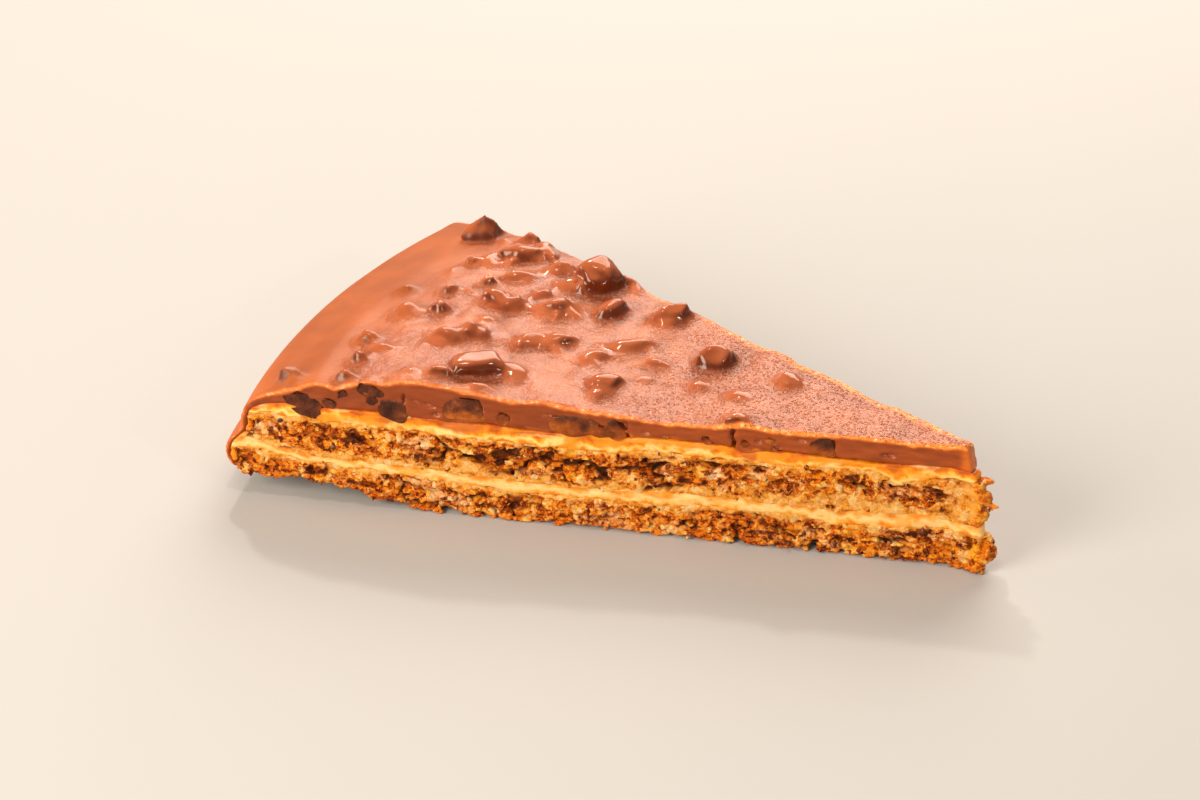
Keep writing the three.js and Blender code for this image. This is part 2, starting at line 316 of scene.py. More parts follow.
def normalsOf(points, faces):
    first, second, third, fourth = (points[faces[:, corner]] for corner in range(4))
    facing = np.cross(third - first, fourth - second)
    total = np.stack([np.bincount(faces.ravel(), np.repeat(facing[:, axis], 4)) for axis in range(3)], 1)
    return total / np.maximum(np.linalg.norm(total, axis=1), 1e-9)[:, None]


# Drops what hangs loose in the air: only the largest piece of a skin stays.
def largestPart(points, faces):
    label = np.arange(len(points))
    ends = np.concatenate([faces[:, [0, 1]], faces[:, [1, 2]], faces[:, [2, 3]]])
    while True:
        lowest = np.minimum(label[ends[:, 0]], label[ends[:, 1]])
        new = label.copy()
        np.minimum.at(new, ends[:, 0], lowest)
        np.minimum.at(new, ends[:, 1], lowest)
        new = new[new]
        if np.array_equal(new, label):
            break
        label = new
    kept = label == np.bincount(label).argmax()
    number = np.cumsum(kept) - 1
    return points[kept], number[faces[kept[faces[:, 0]]]]


def makePiece(name, points, faces, node=None, marks=None):
    mesh = bpy.data.meshes.new(name)
    mesh.vertices.add(len(points))
    mesh.vertices.foreach_set("co", (points * millimetre).astype(np.float32).ravel())
    corners = faces.shape[1]
    mesh.loops.add(faces.size)
    mesh.loops.foreach_set("vertex_index", faces.astype(np.int32).ravel())
    mesh.polygons.add(len(faces))
    mesh.polygons.foreach_set("loop_start", np.arange(0, faces.size, corners, dtype=np.int32))
    mesh.update(calc_edges=True)
    mesh.validate()
    mesh.polygons.foreach_set("use_smooth", np.ones(len(mesh.polygons), bool))
    for key, value in (marks or {}).items():
        layer = mesh.attributes.new(key, "FLOAT", "POINT")
        layer.data.foreach_set("value", value.astype(np.float32))
    piece = bpy.data.objects.new(name, mesh)
    bpy.context.scene.collection.objects.link(piece)
    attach(piece, "root")
    if node:
        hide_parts(node)
    report(f"{name}: {len(points)} points, {len(faces)} faces")
    return piece


# Materials. A colour is given as red, green and blue from 0 to 255, as read off a screen.
def shade(*parts):
    linear = [part / 255 / 12.92 if part < 10 else ((part / 255 + 0.055) / 1.055) ** 2.4 for part in parts]
    return (*linear, 1.0)


class Finish:
    def __init__(self, name):
        self.material = bpy.data.materials.new(name)
        self.material.use_nodes = True
        self.tree = self.material.node_tree
        self.tree.nodes.clear()
        self.shader = self.put("BsdfPrincipled")
        out = self.put("OutputMaterial")
        self.tree.links.new(self.shader.outputs[0], out.inputs[0])
        self.place = self.put("TexCoord").outputs["Object"]

    def put(self, kind, inputs=(), **settings):
        made = self.tree.nodes.new("ShaderNode" + kind)
        for key, value in settings.items():
            setattr(made, key, value)
        for key, value in dict(inputs).items():
            self.set(made.inputs[key], value)
        return made

    def set(self, socket, value):
        if isinstance(value, bpy.types.NodeSocket):
            self.tree.links.new(value, socket)
        else:
            socket.default_value = value

    def look(self, **inputs):
        for key, value in inputs.items():
            self.set(self.shader.inputs[key.replace("_", " ")], value)

    def mark(self, name):
        return self.put("Attribute", attribute_name=name).outputs["Fac"]

    def noise(self, size, detail=2.0, stretch=None, rough=0.5):
        place = self.place
        if stretch:
            place = self.put("Mapping", {"Vector": place, "Scale": stretch}).outputs[0]
        sockets = {"Vector": place, "Scale": 1 / (size * millimetre), "Detail": detail, "Roughness": rough}
        return self.put("TexNoise", sockets).outputs["Fac"]

    def cells(self, size, output="Distance", at=None):
        made = self.put("TexVoronoi", {"Vector": at or self.place, "Scale": 1 / (size * millimetre)})
        return made.outputs[output]

    def math(self, operation, a, b):
        return self.put("Math", {0: a, 1: b}, operation=operation).outputs[0]

    def times(self, a, b):
        return self.math("MULTIPLY", a, b)

    def plus(self, a, b):
        return self.math("ADD", a, b)

    def fit(self, value, low, high, start=0.0, end=1.0):
        sockets = {"Value": value, "From Min": low, "From Max": high, "To Min": start, "To Max": end}
        return self.put("MapRange", sockets, clamp=True).outputs[0]

    def ramp(self, value, stops):
        made = self.put("ValToRGB", {"Fac": value})
        ladder = made.color_ramp.elements
        while len(ladder) < len(stops):
            ladder.new(0.5)
        for step, (place, colour) in zip(ladder, stops):
            step.position = place
            step.color = shade(*colour)
        return made.outputs["Color"]

    def mix(self, share, a, b):
        made = self.put("Mix", data_type="RGBA")
        self.set(made.inputs["Factor"], share)
        self.set(made.inputs[6], shade(*a) if isinstance(a, tuple) else a)
        self.set(made.inputs[7], shade(*b) if isinstance(b, tuple) else b)
        return made.outputs[2]

    def tint(self, colour, share, strength, other):
        return self.mix(self.times(share, strength), colour, other)

    def bump(self, height, depth, strength=1.0, after=None):
        sockets = {"Height": height, "Distance": depth * millimetre, "Strength": strength}
        if after:
            sockets["Normal"] = after
        return self.put("Bump", sockets).outputs[0]


def crumbFinish():
    crumb = Finish("almondCrumb")
    fine = crumb.noise(0.3, 4.0, rough=0.65)
    broad = crumb.noise(5.0, 3.0, stretch=(0.6, 0.6, 1.3))
    # Every grain has a colour of its own, and so has every larger piece of nut.
    bend = crumb.put("TexNoise", {"Vector": crumb.place, "Scale": 1 / (1.1 * millimetre), "Detail": 3.0})
    shift = crumb.put("VectorMath", {0: bend.outputs["Color"], "Scale": 1.9 * millimetre}, operation="SCALE")
    bent = crumb.put("VectorMath", {0: crumb.place, 1: shift.outputs[0]}, operation="ADD").outputs[0]
    grain = crumb.cells(0.7, output="Color", at=bent)
    piece = crumb.cells(1.25, output="Color", at=bent)
    tone = crumb.plus(crumb.fit(grain, 0.18, 0.82, 0.0, 0.4), crumb.fit(piece, 0.2, 0.8, 0.0, 0.46))
    tone = crumb.plus(tone, crumb.fit(fine, 0.3, 0.7, -0.12, 0.16))
    tone = crumb.plus(tone, crumb.fit(broad, 0.35, 0.65, -0.1, 0.14))
    # Painted shade: the crumb is darkened in the gaps between its grains, in patches.
    sockets = {"Vector": bent, "Scale": 1 / (1.25 * millimetre)}
    gap = crumb.put("TexVoronoi", sockets, feature="DISTANCE_TO_EDGE").outputs["Distance"]
    dark = crumb.fit(crumb.noise(1.7, 2.0), 0.42, 0.6, 0.0, 0.42)
    dark = crumb.times(dark, crumb.fit(gap, 0.0, 0.14, 1.0, 0.0))
    tone = crumb.math("SUBTRACT", tone, dark)
    # Darker nests and paler chunks lie scattered through it.
    nests = crumb.noise(2.4, 3.0, stretch=(0.6, 0.6, 1.35))
    tone = crumb.math("SUBTRACT", tone, crumb.fit(nests, 0.54, 0.68, 0.0, 0.52))
    tone = crumb.plus(tone, crumb.fit(crumb.cells(2.3, output="Color", at=bent), 0.56, 0.74, 0.0, 0.2))
    colour = crumb.ramp(tone, [
        (0.0, (56, 16, 0)), (0.12, (122, 42, 0)), (0.25, (190, 80, 0)), (0.38, (224, 106, 2)),
        (0.52, (242, 134, 14)), (0.66, (250, 160, 56)), (0.82, (255, 190, 98)), (1.0, (255, 216, 144)),
    ])
    golden = crumb.fit(crumb.noise(3.0, 2.0, stretch=(0.6, 0.6, 1.2)), 0.5, 0.6)
    colour = crumb.tint(colour, golden, 0.75, crumb.ramp(tone, [
        (0.0, (104, 38, 0)), (0.24, (220, 98, 0)), (0.46, (252, 142, 4)), (0.72, (255, 178, 40)),
        (1.0, (255, 210, 112))]))
    rosy = crumb.fit(crumb.noise(3.7, 3.0, stretch=(0.6, 0.6, 1.1), rough=0.6), 0.53, 0.6)
    colour = crumb.tint(colour, rosy, 0.8, crumb.ramp(tone, [
        (0.0, (70, 24, 4)), (0.2, (152, 70, 20)), (0.42, (216, 126, 54)), (0.62, (246, 166, 98)),
        (1.0, (255, 212, 162))]))
    colour = crumb.mix(crumb.mark("crust"), colour, crumb.ramp(tone, [
        (0.0, (120, 40, 0)), (0.3, (226, 98, 0)), (0.6, (252, 144, 18)), (1.0, (255, 212, 110))]))
    smoother = crumb.plus(crumb.times(tone, 0.6), 0.2)
    creamy = crumb.ramp(smoother, [
        (0.0, (216, 104, 4)), (0.25, (244, 150, 34)), (0.5, (252, 182, 84)), (0.85, (255, 210, 144))])
    colour = crumb.tint(colour, crumb.mark("cream"), 0.92, creamy)
    amber = crumb.ramp(tone, [(0.0, (196, 76, 0)), (0.4, (250, 140, 8)), (0.8, (255, 176, 24))])
    colour = crumb.tint(colour, crumb.mark("amber"), 0.85, amber)
    colour = crumb.tint(colour, crumb.mark("brown"), 0.8, (176, 84, 20))
    # Painted shade: darker in the hollows behind the cut and in the dents of the crumb.
    colour = crumb.mix(crumb.fit(crumb.mark("pitShade"), 0.0, 0.6, 0.0, 0.7), colour, (170, 74, 8))
    colour = crumb.mix(crumb.fit(crumb.mark("pitShade"), 0.3, 1.0, 0.0, 0.92), colour, (48, 15, 2))
    rough = crumb.bump(fine, 0.5, 0.9)
    crumb.look(
        Base_Color=colour, Roughness=crumb.fit(grain, 0.0, 1.0, 0.7, 0.25), Specular_IOR_Level=0.28,
        Specular_Tint=(1.0, 0.85, 0.65, 1.0),
        Normal=crumb.bump(crumb.noise(0.8, 3.0, rough=0.6), 0.4, 0.8, after=rough),
    )
    return crumb.material


def creamFinish():
    cream = Finish("butterCream")
    patches = cream.noise(3.2, 3.0, stretch=(0.5, 0.5, 1.6))
    height = cream.plus(cream.mark("rise"), cream.fit(cream.noise(2.2, 3.0), 0.3, 0.7, -0.34, 0.34))
    colour = cream.ramp(height, [
        (0.0, (222, 120, 12)), (0.13, (246, 166, 54)), (0.3, (254, 208, 126)), (0.47, (252, 186, 70)),
        (0.6, (242, 140, 4)), (0.8, (216, 106, 0)), (1.0, (186, 80, 0))])
    palerColour = cream.ramp(height, [
        (0.0, (222, 120, 14)), (0.14, (242, 160, 54)), (0.3, (250, 190, 102)), (0.5, (254, 202, 130)),
        (0.74, (246, 174, 78)), (1.0, (224, 126, 18))])
    colour = cream.mix(cream.mark("pale"), colour, palerColour)
    colour = cream.mix(cream.fit(patches, 0.54, 0.68, 0.0, 0.6), colour, (244, 146, 10))
    colour = cream.mix(cream.fit(patches, 0.46, 0.32, 0.0, 0.7), colour, (254, 212, 140))
    colour = cream.tint(colour, cream.mark("amber"), 0.9, (238, 142, 18))
    colour = cream.tint(colour, cream.mark("brown"), 0.9, (204, 104, 26))
    wiped = cream.noise(0.7, 4.0, stretch=(0.5, 0.5, 1.4))
    cream.look(
        Base_Color=colour, Roughness=cream.fit(cream.noise(1.2, 3.0), 0.3, 0.7, 0.34, 0.6),
        Subsurface_Weight=0.25, Subsurface_Radius=(1.0, 0.6, 0.25), Subsurface_Scale=0.0015,
        Specular_IOR_Level=0.4, Specular_Tint=(1.0, 0.88, 0.7, 1.0), Normal=cream.bump(wiped, 0.3, 0.5),
    )
    return cream.material


def chocolateFinish():
    coat = Finish("milkChocolate")
    cutFace = coat.mark("cutFace")
    lip = coat.mark("lip")
    smooth = coat.mark("smooth")
    broad = coat.noise(7.0, 3.0)
    speckle = coat.cells(0.6)
    outside = coat.ramp(broad, [(0.3, (166, 82, 46)), (0.5, (180, 94, 54)), (0.7, (194, 106, 64))])
    rim = coat.ramp(coat.noise(14.0, 3.0), [
        (0.35, (158, 74, 20)), (0.5, (174, 84, 24)), (0.65, (186, 92, 30))])
    outside = coat.mix(smooth, outside, rim)
    # Painted shade: darker brown in the valleys between the lumps.
    outside = coat.tint(outside, coat.mark("valleyShade"), 0.75, (122, 48, 18))
    outside = coat.tint(outside, coat.mark("crown"), 0.4, (160, 76, 32))
    # Painted shade: the steep sides of the lumps are darkened, most on the sides turned away from the lamp
    # behind.
    outside = coat.tint(outside, coat.mark("steep"), 0.92, (86, 28, 6))
    inside = coat.ramp(coat.noise(1.6, 3.0, stretch=(0.4, 0.4, 1.6)), [
        (0.3, (138, 56, 12)), (0.55, (156, 66, 14)), (0.75, (170, 76, 20))])
    inside = coat.tint(inside, coat.mark("amber"), 0.7, (226, 124, 20))
    inside = coat.tint(inside, coat.mark("brown"), 0.8, (190, 92, 18))
    bare = coat.math("SUBTRACT", 1.0, coat.math("MAXIMUM", cutFace, smooth))
    rough = coat.times(bare, coat.fit(coat.mark("lump"), 0.0, 0.6, 1.0, 0.0))
    # Painted highlight: pale specks sprinkled over the bare top, as sparkle on its grain.
    sparkleHighlight = coat.fit(coat.noise(0.32, 2.0, rough=0.7), 0.54, 0.7)
    outside = coat.tint(outside, coat.times(sparkleHighlight, rough), 0.32, (255, 206, 160))
    # Painted shade: dark specks beside them, as the shaded sides of the grain.
    speckleShade = coat.fit(coat.noise(0.5, 2.0, rough=0.7), 0.44, 0.3)
    outside = coat.tint(outside, coat.times(speckleShade, rough), 0.32, (116, 42, 12))
    # Painted shade: darker in the crevices between the beads near the point.
    ring = coat.times(coat.fit(speckle, 0.3, 0.42), coat.times(coat.mark("beads"), rough))
    outside = coat.tint(outside, ring, 0.16, (140, 62, 30))
    farOut = coat.math("SUBTRACT", 1.0, coat.mark("beads"))
    inside = coat.tint(inside, farOut, 0.4, (118, 46, 14))
    colour = coat.mix(cutFace, outside, inside)
    # Painted light: the coat's edge along the cut glows orange, as light through the thin chocolate, with a
    # painted highlight along its crest.
    crestHighlight = coat.plus(coat.times(lip, 0.85), coat.fit(coat.noise(0.9, 3.0), 0.3, 0.7, -0.12, 0.14))
    brownCrestHighlight = coat.ramp(crestHighlight, [
        (0.0, (180, 78, 18)), (0.7, (214, 104, 28)), (0.88, (236, 134, 62)), (1.0, (255, 196, 140))])
    crestHighlight = coat.ramp(crestHighlight, [
        (0.0, (200, 88, 14)), (0.7, (236, 120, 24)), (0.88, (250, 150, 58)), (1.0, (255, 212, 150))])
    crestHighlight = coat.mix(coat.mark("beads"), brownCrestHighlight, crestHighlight)
    colour = coat.tint(colour, lip, 0.9, crestHighlight)
    drops = coat.fit(speckle, 0.12, 0.42, 1.0, 0.0)
    drops = coat.times(drops, coat.fit(coat.noise(2.6, 2.0), 0.3, 0.45))
    drops = coat.times(drops, coat.mark("beads"))
    uneven = coat.bump(coat.noise(0.95, 2.0), 0.14, 1.0)
    grainy = coat.bump(coat.noise(0.42, 2.0, rough=0.7), 0.15, 1.0, after=uneven)
    pitted = coat.bump(drops, 0.24, 1.0, after=grainy)
    calm = coat.bump(coat.noise(1.2, 2.0), 0.06, 0.6)
    blend = coat.put("Mix", data_type="VECTOR")
    calmer = coat.math("MAXIMUM", smooth, coat.fit(coat.mark("lump"), 0.0, 0.7))
    coat.set(blend.inputs["Factor"], coat.math("MAXIMUM", cutFace, calmer))
    coat.set(blend.inputs[4], pitted)
    coat.set(blend.inputs[5], calm)
    gloss = coat.fit(smooth, 0.0, 1.0, 0.33, 0.62)
    gloss = coat.math("SUBTRACT", gloss, coat.times(coat.mark("lump"), 0.2))
    coat.look(
        Base_Color=colour, Roughness=gloss, Subsurface_Weight=0.1,
        Subsurface_Radius=(1.0, 0.4, 0.2), Subsurface_Scale=0.001, Specular_IOR_Level=0.5,
        Specular_Tint=(1.0, 0.82, 0.68, 1.0), Normal=blend.outputs[1],
    )
    return coat.material


def toffeeFinish():
    toffee = Finish("toffee")
    noise = toffee.noise(3.4, 4.0, rough=0.55)
    colour = toffee.ramp(noise, [
        (0.3, (38, 12, 5)), (0.44, (68, 27, 12)), (0.58, (102, 45, 21)), (0.72, (154, 82, 40))])
    golden = toffee.ramp(noise, [(0.3, (100, 38, 5)), (0.5, (160, 74, 14)), (0.7, (206, 112, 26))])
    colour = toffee.tint(colour, toffee.mark("low"), 0.8, golden)
    toffee.look(
        Base_Color=colour, Roughness=toffee.fit(toffee.noise(0.8, 2.0), 0.3, 0.7, 0.22, 0.5),
        Specular_IOR_Level=0.3, Specular_Tint=(1.0, 0.8, 0.65, 1.0),
        Subsurface_Weight=0.1, Subsurface_Radius=(1.0, 0.4, 0.15), Subsurface_Scale=0.001,
        Normal=toffee.bump(toffee.noise(0.5, 3.0), 0.25, 0.8),
    )
    return toffee.material


def almondFinish():
    almond = Finish("almond")
    colour = almond.ramp(almond.noise(1.0, 3.0), [
        (0.3, (216, 134, 60)), (0.55, (240, 168, 90)), (0.8, (252, 196, 128))])
    almond.look(
        Base_Color=colour, Roughness=0.5, Subsurface_Weight=0.2, Subsurface_Radius=(1.0, 0.6, 0.3),
        Subsurface_Scale=0.001, Normal=almond.bump(almond.noise(0.4, 3.0), 0.1, 0.6),
    )
    return almond.material


def skinFinish():
    skin = Finish("almondSkin")
    colour = skin.ramp(skin.noise(0.8, 3.0), [
        (0.3, (58, 22, 8)), (0.55, (112, 52, 18)), (0.8, (168, 90, 36))])
    skin.look(Base_Color=colour, Roughness=0.5, Normal=skin.bump(skin.noise(0.3, 3.0), 0.1, 0.6))
    return skin.material


# Smears of melted toffee and chocolate on the near cut: radius, height, half its length, half its height,
# and 1 for brown or 0 for amber.
smears = [
    (90.0, 19.4, 3.6, 2.2, 1), (71.2, 16.6, 1.9, 5.4, 0), (117.2, 18.9, 2.6, 1.4, 1),
    (102.6, 18.6, 3.0, 0.9, 1), (0.4, 4.6, 1.6, 3.2, 0), (28, 19.4, 5, 0.8, 0), (66, 19.6, 3, 1.4, 0),
    (46, 19.6, 4, 0.8, 0), (80, 19.2, 3, 0.7, 0), (118.4, 19.0, 2.2, 1.3, 1), (103, 18.6, 2.6, 1.0, 1),
    (78.5, 19.1, 3.2, 0.8, 1), (40.4, 18.7, 1.5, 1.5, 1), (115, 18.0, 4.5, 1.2, 0),
    (106, 18.0, 2.6, 1.0, 0), (64, 18.3, 3.4, 1.2, 0), (37, 18.9, 3.6, 1.2, 0), (22, 19.3, 8, 0.6, 0),
    (0, 15.5, 2.6, 4.5, 0), (71, 12.6, 2.6, 2.2, 0), (84, 10.6, 3.0, 1.0, 0), (55, 19.6, 9, 0.8, 0),
]
# Hollows in the crumb at the near cut: radius, height, half its length, half its height, depth, and rise
# per millimetre of radius.
hollows = {
    "middle_sponge": [
        (122.6, 10.4, 1.0, 0.5, 1.4, 0), (108, 13.9, 2.8, 0.6, 1.8, 0.23), (95.5, 10.7, 2.8, 0.8, 1.5, 0),
        (88.6, 12.3, 2.6, 0.8, 2.4, 0), (83.3, 13.6, 3.3, 1.3, 3.2, -0.36), (75.4, 13.8, 1.3, 1.0, 2.4, -0.3),
        (73.4, 11.5, 1.0, 0.6, 2.0, 0), (66, 12.8, 3.4, 0.6, 2.4, -0.05), (60.5, 13.3, 3.2, 0.65, 2.6, -0.15),
        (56, 14.5, 2.4, 0.6, 2.4, -0.35), (53.3, 16.4, 0.9, 0.4, 1.4, 0), (46.5, 15.8, 2.2, 0.7, 1.5, 0),
        (37.5, 16.1, 1.6, 0.6, 1.5, 0), (34.8, 13.6, 1.9, 0.6, 1.7, -0.2), (27.8, 16.6, 1.0, 0.45, 1.3, 0),
        (26.6, 13.3, 0.8, 0.4, 1.2, 0), (21.6, 14.6, 2.8, 0.5, 2.2, 0.1), (14.5, 13.2, 1.3, 0.6, 1.3, 0),
        (6.5, 17.8, 1.9, 0.35, 1.6, -0.1), (127, 15, 1.7, 1.3, 0.9, 0), (101, 13, 1.2, 0.5, 1.3, 0.2),
    ],
    "base_sponge": [
        (118.2, 6.7, 1.0, 0.5, 1.6, 0), (129.2, 8.3, 2.2, 0.7, 1.1, 0.1), (108, 4.7, 2.1, 0.5, 1.4, 0.2),
        (100.6, 3.0, 1.4, 0.5, 1.3, 0), (88.2, 4.2, 0.9, 0.6, 1.2, 0), (81, 2.9, 2.8, 0.7, 1.5, 0),
        (77, 4.9, 2.0, 0.5, 1.2, 0), (56, 3.8, 1.2, 0.5, 1.2, 0), (50.5, 3.4, 1.8, 0.6, 1.4, 0),
        (41.5, 3.6, 1.6, 0.6, 1.3, 0), (32, 3.6, 1.6, 0.6, 1.4, 0), (28, 4.6, 1.4, 0.5, 1.2, 0),
        (23.5, 3.2, 1.6, 0.6, 1.4, 0), (13, 2.4, 1.6, 0.5, 1.3, 0), (8.6, 4.6, 1.4, 0.6, 1.3, 0),
        (1.5, 5.8, 0.8, 1.6, 1.6, 0),
    ],
}


# Crumbs and drawn-out cream that hang on at the point: radius, way to the far side, height, and half its
# length, width and height.
pointBits = {
    "base_sponge": [
        (-1.6, 0.6, 4.3, 1.5, 1.9, 2.3), (-0.3, -0.2, 1.5, 1.5, 1.5, 1.1), (-1.2, 0.5, 7.0, 0.9, 1.0, 0.8),
    ],
    "middle_sponge": [
        (-0.2, 0.2, 18.3, 1.5, 0.8, 0.5), (-1.2, 0.2, 18.45, 1.1, 0.35, 0.28),
        (-0.7, 0.1, 15.1, 1.2, 1.3, 1.3), (-1.6, 0.2, 13.6, 1.6, 0.5, 0.45),
        (-0.5, 0.2, 11.6, 1.0, 1.2, 1.4),
    ],
}


# The far cut has as many hollows as the near one, and they are drawn by chance.
def farHollows(name, floor, ceiling):
    count = len(hollows[name])
    draw = np.random.default_rng(len(name))
    radii = 4 + 122 * (np.arange(count) + draw.random(count)) / count
    heights = floor + (ceiling - floor) * (0.15 + 0.7 * draw.random(count))
    return [
        (r, h, *size) for r, h, size in
        zip(radii, heights, draw.uniform((0.9, 0.45, 1.2, -0.25), (3.0, 0.9, 2.6, 0.25), (count, 4)))
    ]


# Cream that the knife has smeared over the crumb's cut, in patches beside each layer of cream.
creamed = {
    "above": 4.2,  # how far it reaches above a layer of cream, and below one
    "below": 1.6,
    "patch": (7.0, 7.0, 3.0),
    "point": (2.5, 8.0),  # how far from the point the drawn-out cream begins to thin, and ends
    "fill": 0.7,  # how much it levels the crumb
}


# Cream that the knife drew out over the point.
def drawnOut(points, u):
    return (1 - ease(u + 2.0 * roughNoise(points, 1.6, 93), *creamed["point"])) * ease(points[:, 2], 8.2, 9.4)


# How thickly it lies there, from 0 to 1.
def creamMark(points, edges):
    u, radius, share, cut = planOf(points)
    patch = roughNoise(points, creamed["patch"], 91)
    grainy = roughNoise(points, 1.3, 92)
    cover = np.zeros(len(points), np.float32)
    for edge, way in edges:
        away = way * (points[:, 2] - edgeHeight(edge, radius, share))
        reach = (creamed["above"] if way > 0 else creamed["below"]) * np.clip(0.5 + 1.35 * patch, 0.14, 1.15)
        cover = np.maximum(cover, 1 - ease(away / reach + 0.9 * grainy, 0.3, 1.1))
    return np.maximum(cover * (1 - ease(-cut, 0.5, 1.4)), drawnOut(points, u))


def smearMarks(points):
    u, radius, share, cut = planOf(points)
    marks = {"amber": np.zeros(len(points)), "brown": np.zeros(len(points))}
    uneven = 0.9 * roughNoise(points, 2.2, 61) + 0.4 * roughNoise(points, 0.8, 62)
    for r, h, halfLength, halfHeight, brown in smears:
        off = np.hypot((radius - r) / halfLength, (points[:, 2] - h) / halfHeight) + uneven
        near = (points[:, 1] < 0) | (radius < 5)
        strength = (1 - ease(off, 0.55, 1.15)) * near * (1 - ease(-cut, 1.0, 4.0))
        key = "brown" if brown else "amber"
        marks[key] = np.maximum(marks[key], strength)
    return marks


spongeBuild = {
    "step": 0.26,
    "rise": 0.25,
    "depths": (  # how deep each row of the grid lies in the cut
        -1.65, -1.35, -1.1, -0.85, -0.6, -0.35, -0.1, 0.15, 0.4, 0.65, 0.95, 1.3, 1.7, 2.2, 2.8, 3.5, 4.3),
    "between": 14,  # rows between the last ones of both cuts
    "margin": 1.6,  # how far the grid reaches past the solid, above and below
    "nearSkin": 1.9,  # how far from the plain form its roughness reaches
    "rimRound": 2.2,
    "bitRound": 0.5,  # how softly the pieces at the point run into it
    "underside": 0.35,  # how far the plain form's underside lies above the floor, before it is roughened
    "clump": (3.6, 3.6, 2.2),  # size of the clumps, the grains and the fine crumbs in them
    "grain": (1.6, 1.6, 1.1),
    "fineGrain": (0.95, 0.95, 0.65),
    "clumpRelief": 0.7,
    "grainRelief": 0.55,
    "fineRelief": 0.45,
    "tear": (7.0, 7.0, 1.7),  # size of the torn, level gaps between the clumps
    "tearDepth": 0.9,
    "crease": (2.1, 2.1, 1.2),  # size of what the creases run round
    "creaseDepth": 0.5,
    "intoCream": 0.35,  # how far its rough faces reach into the cream
}


def bentSpace(points, size, amount, seed):
    bend = np.stack([softNoise(points, size, seed + axis) for axis in range(3)], 1)
    return points + amount * bend


# How far the crumb stands out at a point.
def crumbRelief(points, seed):
    bent = bentSpace(points, 2.2, 0.55, seed + 7)
    bentFinely = bentSpace(points, 0.7, 0.22, seed + 13)
    clump = grains(bent, spongeBuild["clump"], seed + 20)[0]
    coarse, who = grains(bent, spongeBuild["grain"], seed)[::2]
    fine, fineGap, fineWho = grains(bentFinely, spongeBuild["fineGrain"], seed + 40)
    tear = 1 - ease(np.abs(softNoise(bent, spongeBuild["tear"], seed + 60)), 0.02, 0.16)
    tear *= ease(softNoise(points, 9.0, seed + 70), -0.3, 0.3)
    out = spongeBuild["clumpRelief"] * (0.6 - clump)
    out = out + spongeBuild["grainRelief"] * (0.5 - coarse) * (0.4 + 1.2 * who)
    # Each fine crumb is a little step of its own, with a groove round it.
    out += spongeBuild["fineRelief"] * ((0.5 - fine) * 0.5 + (fineWho - 0.5) * ease(fineGap, 0.0, 0.16))
    out -= spongeBuild["tearDepth"] * tear
    crease = 1 - ease(np.abs(softNoise(bent, spongeBuild["crease"], seed + 80)), 0.0, 0.24)
    out -= spongeBuild["creaseDepth"] * crease
    return out


